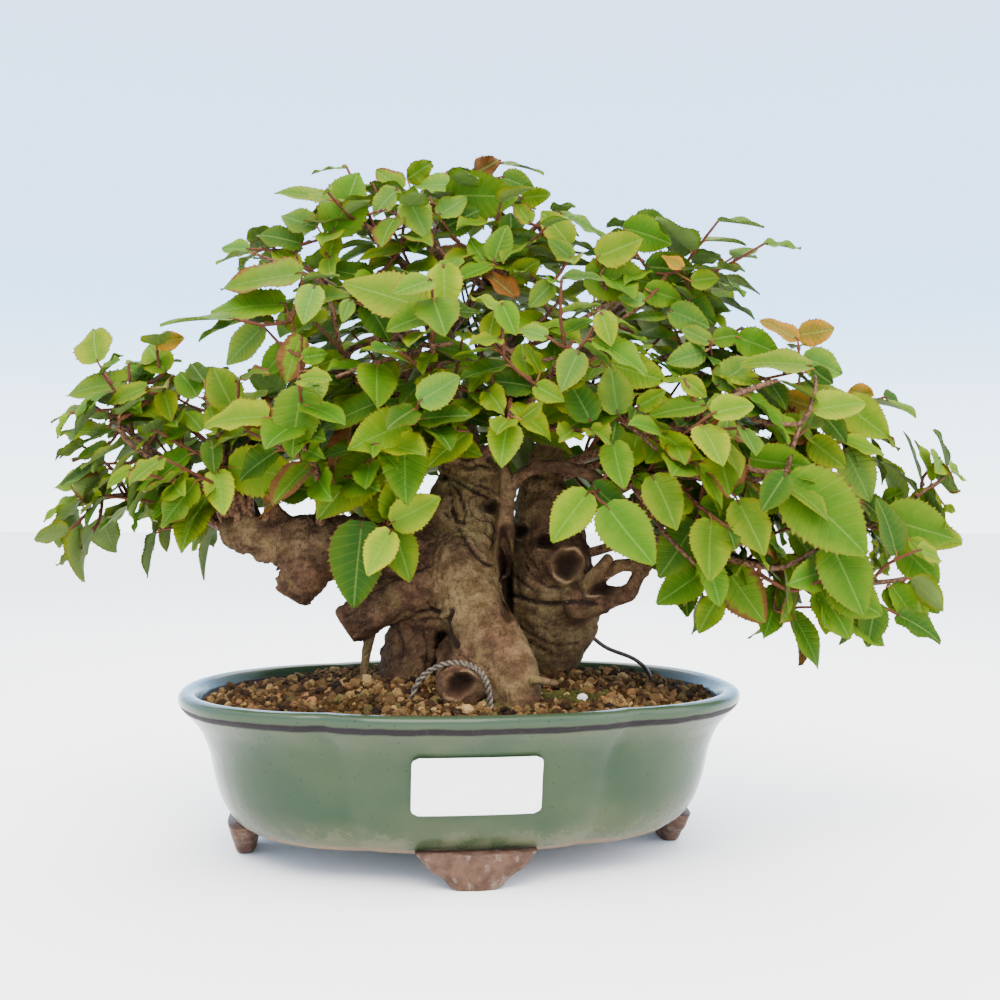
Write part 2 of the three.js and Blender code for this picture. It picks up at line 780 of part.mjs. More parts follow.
function isClear(balls, owner, wood) {
  return balls.every(
    (ball) =>
      ball[2] > LOWEST_LEAF &&
      taken.every((other) => {
        const ownShare = wood || other.wood ? OWN_WOOD_SHARE : OWN_LEAF_SHARE;
        const reach = (ball[3] + other.ball[3]) * (other.owner === owner ? ownShare : 1);
        const x = ball[0] - other.ball[0];
        const y = ball[1] - other.ball[1];
        const z = ball[2] - other.ball[2];
        return x * x + y * y + z * z > reach * reach;
      }),
  );
}

function take(balls, owner, wood) {
  for (const ball of balls) taken.push({ ball, owner, wood });
}

// Balls along a path of x, y, z and radius, at most 3 mm apart.
function pathBalls(path, margin) {
  const balls = [];
  for (let i = 0; i < path.length - 1; i++) {
    const count = Math.ceil(size(sub(path[i + 1], path[i])) / 3);
    for (let k = 0; k < count; k++) {
      const t = k / count;
      balls.push([...along(path[i], path[i + 1], t), mix(path[i][3], path[i + 1][3], t) + margin]);
    }
  }
  return balls;
}

// Half width of a leaf at a share of its length from its foot, as a share of the greatest.
function leafWidth(t) {
  return Math.pow(Math.sin(Math.PI * Math.pow(t, 0.72)), 0.8);
}

// A point of a leaf: t along it, w across it from -1 to 1.
function leafPoint(leaf, t, w) {
  const arch = -leaf.arch * leaf.length * t * t;
  const half = leaf.length * leaf.shape * leafWidth(Math.min(Math.max(t, 0.02), 0.98));
  const fold = leaf.fold * Math.abs(w) * half;
  let point = add(leaf.foot, scale(leaf.way, t * leaf.length));
  point = add(point, scale(leaf.side, w * half));
  return add(point, scale(leaf.face, arch + fold));
}

function leafBalls(leaf) {
  const balls = [];
  for (const t of [0.08, 0.29, 0.5, 0.71, 0.92]) {
    for (const w of [-0.75, 0, 0.75]) {
      balls.push([...leafPoint(leaf, t, w), 2.4]);
    }
  }
  return balls;
}

// A leaf in space: its stalk's points from the wood on, the foot of the blade, the way to its tip, and
// the way its upper face looks.
function describeLeaf(stalk, foot, way, face, length, arch, fold) {
  const faceSquare = square(face, way);
  return {
    stalk,
    foot,
    way,
    face: faceSquare,
    side: cross(way, faceSquare),
    length,
    shape: LEAF_SHAPE,
    arch,
    fold,
  };
}

// A direction carried along when the way it belongs to turns from one to another.
function turned(direction, from, to) {
  const sum = add(from, to);
  const back = scale(sum, dot(sum, direction) / (1 + dot(from, to)));
  return add(sub(direction, back), scale(to, 2 * dot(from, direction)));
}

// Rings of four points round a stalk, from the wood on. They match the ring at the foot of the blade.
function stalkRings(leaf) {
  let side = leaf.side;
  let way = leaf.way;
  let next = leaf.foot;
  const rings = [];
  for (const point of leaf.stalk.toReversed()) {
    const wayHere = unit(sub(next, point));
    side = turned(side, way, wayHere);
    way = wayHere;
    next = point;
    const face = cross(side, way);
    rings.unshift([
      add(point, scale(side, point[3])),
      add(point, scale(face, point[3])),
      sub(point, scale(side, point[3])),
      sub(point, scale(face, point[3])),
    ]);
  }
  return rings;
}

// A leaf's solid: a stalk and a toothed blade, thickest at the midrib. A stalk without a radius starts in
// a point.
function leafSolid(leaf, teeth) {
  const margin = [];
  for (let k = 0; k < teeth; k++) {
    const t = 0.2 + (0.66 * k) / Math.max(teeth - 1, 1);
    margin.push([t, 1.04], [t + 0.05, 0.84]);
  }
  const half = scale(leaf.face, BLADE_THICKNESS / 2);
  const aside = scale(leaf.side, FOOT_HALF_WIDTH);
  const rib = leafPoint(leaf, 0.48, 0);
  const footRing = [add(leaf.foot, aside), add(leaf.foot, half), sub(leaf.foot, aside), sub(leaf.foot, half)];
  const rings = leaf.stalk[0].length > 3 ? [...stalkRings(leaf), footRing] : [footRing];
  const points = [
    leafPoint(leaf, 1, 0),
    leaf.stalk[0],
    add(rib, half),
    sub(rib, half),
    ...margin.map(([t, w]) => leafPoint(leaf, t, w)),
    ...margin.map(([t, w]) => leafPoint(leaf, t, -w)),
    ...rings.flat(),
  ];
  const [tip, apex, ribTop, ribBottom] = [0, 1, 2, 3];
  const count = margin.length;
  const firstRing = 4 + 2 * count;
  const [right, top, left, bottom] = [0, 1, 2, 3].map((k) => firstRing + 4 * (rings.length - 1) + k);
  const triangles = [];
  if (rings.length === 1) {
    triangles.push([apex, right, top], [apex, top, left], [apex, left, bottom], [apex, bottom, right]);
  } else {
    triangles.push([firstRing, firstRing + 1, firstRing + 2], [firstRing, firstRing + 2, firstRing + 3]);
  }
  for (let i = 0; i < rings.length - 1; i++) {
    for (let k = 0; k < 4; k++) {
      const a = firstRing + 4 * i + k;
      const b = firstRing + 4 * i + ((k + 1) % 4);
      triangles.push([a, a + 4, b + 4], [a, b + 4, b]);
    }
  }
  // One quarter of the blade: a margin and a midrib, with the same split on every quarter
  const quarter = (firstEdge, foot, footRib, midRib, flip) => {
    const put = (a, b, c) => triangles.push(flip ? [a, c, b] : [a, b, c]);
    const edge = [foot, ...margin.keys().map((i) => firstEdge + i)];
    const turn = Math.ceil(edge.length / 2);
    for (let i = 0; i < edge.length - 1; i++) {
      if (i === turn - 1) put(footRib, edge[i], midRib);
      put(i < turn - 1 ? footRib : midRib, edge[i], edge[i + 1]);
    }
    put(midRib, edge[edge.length - 1], tip);
  };
  quarter(4, right, top, ribTop, false);
  quarter(4 + count, left, top, ribTop, true);
  quarter(4, right, bottom, ribBottom, true);
  quarter(4 + count, left, bottom, ribBottom, false);
  return solid(points.map((point) => point.slice(0, 3)), triangles);
}

// The way out of the crown at a point.
function outward(point) {
  const out = sub(point, CROWN_MIDDLE);
  return unit(out.map((value, j) => value / CROWN_HALF[j] ** 2));
}

const trunkPaths = THICK_LIMBS.map(({ path }) => placed(path, 3));

// The foot of a stem: on the bark of the nearest limb, turned to where the stem goes next.
function onBark(near, toward) {
  let best = null;
  for (const path of trunkPaths) {
    for (const point of path) {
      const gap = size(sub(near, point));
      if (!best || gap < best.gap) best = { gap, point };
    }
  }
  const way = unit(sub(toward, best.point));
  return { inside: best.point.slice(0, 3), outside: add(best.point, scale(way, best.point[3] + GAP)) };
}

function growStem(spray) {
  const points = spray.stem.map(([x, z, depth]) => seen(x, z, depth));
  const foot = onBark(points[0], points[1]);
  spray.inside = [...foot.inside, STEM_RADIUS[0]];
  points[0] = foot.outside;
  const last = points.length - 1;
  const withRadius = points.map((point, i) => [...point, mix(STEM_RADIUS[0], STEM_RADIUS[1], i / last)]);
  return smoothPath(withRadius, 2);
}

// The point of a path nearest to a place.
function nearestOn(paths, place) {
  let best = null;
  for (const path of paths) {
    for (let i = 0; i < path.length - 1; i++) {
      for (const t of [0, 0.25, 0.5, 0.75]) {
        const point = along(path[i], path[i + 1], t);
        const gap = size(sub(place, point));
        if (!best || gap < best.gap) best = { gap, point };
      }
    }
  }
  return best.point;
}

// A leaf placed by eye hangs on the nearest wood of its branch, on a twig of its own where that is far.
function placeLeaf(spray, row) {
  const [footX, footZ, tipX, tipZ, depth, lean, roll] = row;
  for (const shift of [0, -4, 4, -8, 8, -12, 12]) {
    const foot = seen(footX, footZ, depth + shift);
    const tip = seen(tipX, tipZ, depth + shift + lean);
    const way = unit(sub(tip, foot));
    const toEye = square(seenWay(0, 0.25, -1), way);
    const angle = (roll * Math.PI) / 180;
    const face = add(scale(toEye, Math.cos(angle)), scale(cross(way, toEye), Math.sin(angle)));
    const length = size(sub(tip, foot));
    const near = nearestOn([spray.path.slice(1), ...spray.twigs], foot);
    const needsTwig = size(sub(foot, near)) > TWIG_GAP;
    const middle = add(along(near, foot, 0.5), seenWay(0, -TWIG_SAG * size(sub(foot, near)), 0));
    const twig = [[...near, SHOOT_RADIUS], [...middle, SHOOT_RADIUS * 0.9], [...foot, SHOOT_RADIUS * 0.8]];
    const isShort = size(sub(foot, near)) < SHORT_STALK;
    const root = sub(near, scale(unit(sub(foot, near)), ROOT_DEPTH));
    const bars = needsTwig ? twig : [[...near, STALK_RADIUS], [...foot, STALK_RADIUS]];
    const leaf = describeLeaf(isShort ? [root] : bars.slice(0, -1), foot, way, face, length, 0.1, 0.12);
    const wood = pathBalls(bars, 1.2).slice(1);
    if (isClear(leafBalls(leaf), spray.name, false) && isClear(wood, spray.name, true)) {
      take(leafBalls(leaf), spray.name, false);
      take(wood, spray.name, true);
      if (needsTwig) spray.twigs.push([twig[0], twig[1], along(twig[1], twig[2], 0.6)]);
      spray.grown.push({ leaf, teeth: length > BIG_LEAF ? 3 : 2 });
      return;
    }
  }
}

// The way of a path at a distance along it, and the point there.
function walk(path, distance) {
  let left = distance;
  for (let i = 0; i < path.length - 1; i++) {
    const step = size(sub(path[i + 1], path[i]));
    if (left <= step) {
      return { point: along(path[i], path[i + 1], left / step), way: unit(sub(path[i + 1], path[i])) };
    }
    left -= step;
  }
  const last = path.length - 1;
  return { point: path[last].slice(0, 3), way: unit(sub(path[last], path[last - 1])) };
}

function pathLength(path) {
  let total = 0;
  for (let i = 0; i < path.length - 1; i++) total += size(sub(path[i + 1], path[i]));
  return total;
}

// Shoots leave the stem on alternate sides and bend towards the light.
function growShoots(spray) {
  const random = spray.random;
  const total = pathLength(spray.path);
  let hand = random() < 0.5 ? 1 : -1;
  const spacing = spray.leaves.length > 0 ? FRONT_SHOOT_SPACING : SHOOT_SPACING;
  for (let at = SHOOT_FIRST; at < total - 4; at += spacing * mix(0.85, 1.15, random())) {
    const { point, way } = walk(spray.path, at);
    const out = outward(point);
    const across = unit(cross(way, square(out, way)));
    const length = mix(SHOOT_LENGTH[1], SHOOT_LENGTH[0], at / total) * mix(0.8, 1.1, random());
    hand = -hand;
    const turns = [random(), random(), random(), random(), random(), random()];
    for (const turn of turns) {
      const angle = (turn - 0.5) * 2.6;
      const sideways = add(scale(across, hand * Math.cos(angle)), scale(out, Math.sin(angle)));
      const start = unit(add(scale(way, 0.55), scale(sideways, 0.85)));
      const bend = unit(add(start, add(scale(out, 0.35), scale(way, 0.25))));
      const middle = add(point, scale(start, length * 0.45));
      const end = add(middle, scale(bend, length * 0.55));
      const radius = SHOOT_RADIUS;
      const path = [[...point, radius], [...middle, radius * 0.9], [...end, radius * 0.75]];
      const balls = pathBalls(path, 1.2).slice(1);
      if (isClear(balls, spray.name, true)) {
        take(balls, spray.name, true);
        spray.shoots.push({ path, hand });
        break;
      }
    }
  }
}

// Leaves stand in two rows along a shoot, hang a little, and face out of the crown.
function growLeaves(spray, path, first, shoot) {
  const random = spray.random;
  const total = pathLength(path);
  let hand = random() < 0.5 ? 1 : -1;
  for (let at = first; at <= total; at += LEAF_SPACING * mix(0.85, 1.15, random())) {
    const last = at + LEAF_SPACING > total;
    const { point, way } = walk(path, last ? total : at);
    const out = outward(point);
    const length = mix(LEAF_LENGTH[0], LEAF_LENGTH[1], random()) * (last ? 0.8 : 1);
    hand = -hand;
    for (let tries = 0; tries < 7; tries++) {
      const face = unit([
        out[0] + (random() - 0.5) * 1.3,
        out[1] + (random() - 0.5) * 1.3,
        out[2] + 0.45 + (random() - 0.5) * 0.9,
      ]);
      const across = cross(way, face);
      const spread = last ? (random() - 0.5) * 0.8 : hand * mix(0.75, 1.15, random());
      const aim = add(scale(way, 0.7), add(scale(across, spread), [0, 0, -0.35 * random()]));
      const tipWay = square(aim, face);
      const stalkWay = unit(add(way, tipWay));
      const foot = last && shoot ? point : add(point, scale(stalkWay, length * STALK_SHARE));
      const root = sub(point, add(scale(stalkWay, ROOT_DEPTH), scale(way, last ? 1 : 0)));
      const arch = mix(0.03, 0.2, random());
      const fold = mix(0.05, 0.3, random());
      const stalk = last && shoot ? path.slice(0, 2) : [root];
      const leaf = describeLeaf(stalk, foot, tipWay, face, length, arch, fold);
      if (isClear(leafBalls(leaf), spray.name, false)) {
        take(leafBalls(leaf), spray.name, false);
        spray.grown.push({ leaf, teeth: 2 });
        if (shoot) shoot.leafy = true;
        if (shoot && last) shoot.ended = true;
        break;
      }
    }
  }
}

function growSprays() {
  for (const path of trunkPaths) take(pathBalls(path, 2.2), "trunk", true);
  take(pathBalls(placed(ANCHOR_WIRE, 1), 1.2), "anchor_wire", true);
  for (const spray of SPRAYS) {
    spray.random = makeRandom(spray.seed);
    spray.path = growStem(spray);
    spray.shoots = [];
    spray.twigs = [];
    spray.grown = [];
    take(pathBalls(spray.path, 1.2), spray.name, true);
  }
  for (const spray of SPRAYS) {
    const reach = ([footX, footZ, , , depth]) => {
      const foot = seen(footX, footZ, depth);
      return size(sub(foot, nearestOn([spray.path], foot)));
    };
    const nearestFirst = spray.leaves.toSorted((a, b) => reach(a) - reach(b));
    for (const row of nearestFirst) placeLeaf(spray, row);
  }
  for (const spray of SPRAYS) growShoots(spray);
  for (const spray of SPRAYS) {
    for (const shoot of spray.shoots) growLeaves(spray, shoot.path, LEAF_SPACING * 0.9, shoot);
    growLeaves(spray, spray.path.slice(-3), LEAF_SPACING * 0.5, null);
  }
}

// The stem starts inside the limb that bears it, and is cut back to just clear of the bark.
function makeSpray(spray, bark) {
  const pieces = limb([spray.inside, ...spray.path], STEM_SIDES, 0, 0).subtract(bark).decompose();
  const stem = pieces.reduce((a, b) => (a.volume() > b.volume() ? a : b));
  const bare = spray.shoots.filter((shoot) => shoot.leafy && !shoot.ended);
  const shoots = bare.map(({ path }) => limb(path, 3, 0, 0));
  const leaves = spray.grown.map(({ leaf, teeth }) => leafSolid(leaf, teeth));
  return joined([stem, ...shoots, ...leaves]);
}

const MATERIALS = {
  glaze: new THREE.MeshStandardMaterial({ color: 0x3d6b56, roughness: 0.25, metalness: 0 }),
  paper: new THREE.MeshStandardMaterial({ color: 0xf4f4f2, roughness: 0.5, metalness: 0 }),
  soil: new THREE.MeshStandardMaterial({ color: 0x7a5a36, roughness: 0.95, metalness: 0 }),
  bark: new THREE.MeshStandardMaterial({ color: 0x8a7458, roughness: 0.85, metalness: 0 }),
  leaf: new THREE.MeshStandardMaterial({ color: 0x5f9a35, roughness: 0.55, metalness: 0 }),
  wire: new THREE.MeshStandardMaterial({ color: 0x9a968c, roughness: 0.5, metalness: 0.6 }),
  darkWire: new THREE.MeshStandardMaterial({ color: 0x2c332a, roughness: 0.6, metalness: 0.2 }),
  plastic: new THREE.MeshStandardMaterial({ color: 0x1d2b22, roughness: 0.6, metalness: 0 }),
};

const bonsai = new THREE.Group();

function addPiece(name, made, material) {
  const { vertProperties, numProp, triVerts } = made.getMesh();
  const positions = [];
  for (let i = 0; i < vertProperties.length; i += numProp) {
    positions.push(vertProperties[i], vertProperties[i + 1], vertProperties[i + 2]);
  }
  const geometry = new THREE.BufferGeometry();
  geometry.setAttribute("position", new THREE.Float32BufferAttribute(positions, 3));
  geometry.setIndex([...triVerts]);
  geometry.computeVertexNormals();
  const mesh = new THREE.Mesh(geometry, material);
  mesh.name = name;
  bonsai.add(mesh);
}

growSprays();
const bark = makeTrunk(GAP);
const wires = [limb(placed(TIE_WIRE, 2), 6, 0, GAP), limb(placed(ANCHOR_WIRE, 2), 6, 0, GAP)];
addPiece("pot", makePot(), MATERIALS.glaze);
addPiece("label", makeLabel(), MATERIALS.paper);
addPiece("drain_screen_left", makeScreen(-DRAIN_X), MATERIALS.plastic);
addPiece("drain_screen_right", makeScreen(DRAIN_X), MATERIALS.plastic);
addPiece("soil", makeSoil([bark, ...wires]), MATERIALS.soil);
addPiece("trunk", makeTrunk(0), MATERIALS.bark);
addPiece("tie_wire", limb(placed(TIE_WIRE, 2), 6, 0, 0), MATERIALS.wire);
addPiece("anchor_wire", limb(placed(ANCHOR_WIRE, 2), 6, 0, 0), MATERIALS.darkWire);
for (const spray of SPRAYS) addPiece(spray.name, makeSpray(spray, bark), MATERIALS.leaf);

// The origin moves under the middle of the whole plant, on the ground.
const box = new THREE.Box3().setFromObject(bonsai);
const middle = box.getCenter(new THREE.Vector3());
for (const mesh of bonsai.children) mesh.position.set(-middle.x, -middle.y, -box.min.z);

export default bonsai;
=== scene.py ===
"""Looks of a Korean hornbeam bonsai in a glazed pot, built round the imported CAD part.

The tree is described as in the part's source: millimetres, origin on the ground under the middle of the
pot, +Z up and the front towards -Y. to_frame() turns that into the frame's metres.
"""

import math

import bmesh
import bpy
import numpy as np
from mathutils import Matrix, Vector, noise
from mathutils.bvhtree import BVHTree


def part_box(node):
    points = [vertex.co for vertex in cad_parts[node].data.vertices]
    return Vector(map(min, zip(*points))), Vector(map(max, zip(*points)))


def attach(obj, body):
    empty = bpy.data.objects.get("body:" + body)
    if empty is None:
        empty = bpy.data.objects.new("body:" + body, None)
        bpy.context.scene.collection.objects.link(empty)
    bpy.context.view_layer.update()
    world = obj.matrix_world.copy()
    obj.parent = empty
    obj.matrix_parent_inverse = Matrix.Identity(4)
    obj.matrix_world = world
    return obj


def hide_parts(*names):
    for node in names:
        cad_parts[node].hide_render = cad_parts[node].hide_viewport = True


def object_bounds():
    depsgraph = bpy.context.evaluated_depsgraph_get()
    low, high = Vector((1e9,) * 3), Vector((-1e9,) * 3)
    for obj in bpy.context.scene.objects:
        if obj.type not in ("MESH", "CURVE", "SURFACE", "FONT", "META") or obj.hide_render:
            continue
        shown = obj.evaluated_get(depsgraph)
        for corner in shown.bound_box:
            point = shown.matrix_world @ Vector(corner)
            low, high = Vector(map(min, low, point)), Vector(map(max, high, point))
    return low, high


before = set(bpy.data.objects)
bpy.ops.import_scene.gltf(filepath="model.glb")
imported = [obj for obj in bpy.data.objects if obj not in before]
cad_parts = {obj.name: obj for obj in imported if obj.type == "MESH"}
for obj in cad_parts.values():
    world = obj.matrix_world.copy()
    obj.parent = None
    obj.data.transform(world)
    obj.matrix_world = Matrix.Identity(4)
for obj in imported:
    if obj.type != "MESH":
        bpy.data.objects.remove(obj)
CAD_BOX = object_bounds()

MM = 0.001
POT_LOW, POT_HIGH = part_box("pot")
POT_MIDDLE = (Vector(POT_LOW) + Vector(POT_HIGH)) / 2
RIM_HEIGHT = POT_HIGH.z / MM
RIM_HALF_LENGTH = (POT_HIGH.x - POT_LOW.x) / 2 / MM
RIM_HALF_DEPTH = (POT_HIGH.y - POT_LOW.y) / 2 / MM

# The eye in front of the tree, as in the part's source
EYE_DISTANCE = 489
EYE_HEIGHT = 131.3
EYE_OFFSET = 15.6
EYE_TURN = math.radians(6.9)
EYE_PITCH = math.radians(0.98)
EYE_ROLL = math.radians(0.15)
LENS = 42.9
SENSOR = 36

# The pot, with height and inset from the rim's outline up the outside and down the inside
POT_FULLNESS = 2.35
CREASE_ANGLE = math.radians(54)
CREASE_DEPTH = 0.05
CREASE_WIDTH = 0.17
BASE_HEIGHT = 12
POT_OUTSIDE = (
    (12, 27), (16, 21.5), (23, 17), (32, 14), (42, 11.8), (50, 8.6), (55.5, 4.6), (59.5, 1), (62, 0),
    (65, 0.6),
)
POT_INSIDE = ((65, 6.4), (60, 8.5), (44, 17))
FOOT_REACH_X = 86
FOOT_REACH_Y = 62
# Height, half width and half thickness of a foot, with the shoulders of the real one
FOOT_LEVELS = (
    (0, 7.5, 3.4), (1.2, 9.6, 4), (3.6, 11.6, 4.6), (5.4, 13.8, 5), (7, 16.6, 5.3), (9.5, 18.8, 5.9),
    (13.5, 22, 6.8),
)
LABEL_WIDTH = 45.7
LABEL_LOW = 28.6
LABEL_HIGH = 49.8

# Limbs of the trunk: x, z, depth and radius of each point as seen from the front
LIMBS = {
    "central_trunk": (
        (3, 46, 2, 17), (2, 66, 2, 17), (0, 94, 0, 19), (0, 114, 0, 19), (1, 133, 2, 16.5),
        (3, 147, 4, 13), (0, 161, 6, 9.5), (-6, 180, 9, 6.2), (-5, 200, 11, 4.5), (-12, 221, 6, 3.4),
        (-11, 241, 2, 2.5), (-19, 258, 0, 1.7),
    ),
    "right_trunk": (
        (32, 46, 14, 12), (33, 66, 13, 12), (36, 80, 12, 14.5), (38, 96, 11, 19), (36, 112, 10, 17),
        (36, 128, 12, 14.5), (33, 142, 15, 10.5), (34, 156, 18, 7), (41, 174, 19, 5), (47, 194, 26, 3.8),
        (61, 216, 29, 2.9), (68, 238, 27, 2),
    ),
    "left_branch": (
        (-6, 113, -2, 15), (-25, 118, -7, 13.5), (-42, 121, -10, 12), (-58, 122, -11, 11.5),
        (-75, 123, -10, 10), (-88, 126, -9, 8), (-97, 127, -7, 6),
    ),
    "rotten_stub": ((-58, 119, -12, 9), (-65, 108, -14, 9), (-70, 99, -15, 7)),
    "low_left_stub": ((-5, 110, -8, 13), (-18, 104, -14, 11), (-32, 97, -19, 9.2), (-48, 87, -22, 7.4)),
    "left_root": ((-7, 100, -4, 16), (-14, 86, -5, 14), (-21, 75, -6, 12.5), (-24, 50, -8, 12)),
    "front_root": (
        (-3, 116, -9, 13), (1, 103, -17, 13), (7, 91, -26, 12.5), (12, 82, -33, 12.3),
        (18, 71, -41, 12.5), (22, 62, -47, 10), (24, 48, -50, 8),
    ),
    "cut_front_root": ((0, 76, -20, 9), (-1, 66, -40, 8.5), (0, 61, -52, 8)),
    "back_left_root": ((0, 95, 8, 15), (-14, 77, 28, 12), (-24, 63, 42, 9), (-29, 50, 50, 6)),
    "back_right_root": (
        (19, 112, 15, 10), (21, 96, 18, 13), (30, 78, 33, 10), (36, 63, 42, 7), (38, 52, 46, 6),
    ),
    "thin_leg": ((-36, 92, -17, 2.6), (-39, 76, -18, 1.9), (-41, 58, -20, 1.7)),
    "knot": ((42, 116, 0, 11), (43, 114, -9, 8.2), (43.5, 113.5, -13, 7)),
    "small_branch": (
        (15, 110, -10, 5), (17.5, 122, -16, 3.8), (18.5, 143, -19, 2.8), (16.8, 156, -18, 2),
    ),
    "small_branch_arc": (
        (18.5, 141, -19, 2.8), (23, 149, -21, 2.6), (33, 153.5, -24, 2.5), (48, 152, -27, 2.4),
        (64, 144, -30, 2.2),
    ),
    "right_stub_low": (
        (44, 97, -4, 9), (54, 99, -8, 7), (62, 100, -11, 4.5), (68, 101.5, -13, 3.6), (72, 108, -14, 2.8),
        (76, 113, -14, 2.4),
    ),
    "right_stub_high": (
        (50, 104, -6, 4.5), (57, 108.5, -11, 3.2), (65, 113, -14, 2.6), (78, 113.5, -13, 2.2),
    ),
}
TIE_WIRE = (
    (-22, 54, -46, 1.2), (-17, 66, -46, 1.2), (-8, 72, -47, 1.2), (1, 72.6, -49, 1.2),
    (7.5, 69.5, -55, 1.2), (11, 63, -57, 1.2), (12, 54, -57, 1.2),
)
ANCHOR_WIRE = (
    (51, 86, 27, 0.9), (59, 79.5, 28, 0.9), (71, 74.5, 30, 0.9), (77, 68, 31, 0.9), (78, 56, 32, 0.9),
)


def make_random(seed):
    """Numbers between 0 and 1 that are the same on every run."""
    state = [seed * 7919]

    def draw():
        state[0] = (state[0] * 1664525 + 1013904223) % 4294967296
        return state[0] / 4294967296

    return draw


def branch(seed, stem, leaves=(), more=()):
    """A leafy branch as described, with its own draws and with room for what will grow on it."""
    return {
        "seed": seed, "random": make_random(seed), "stem": stem, "leaves": leaves, "more": more,
        "shoots": [], "twigs": [], "grown": [],
    }


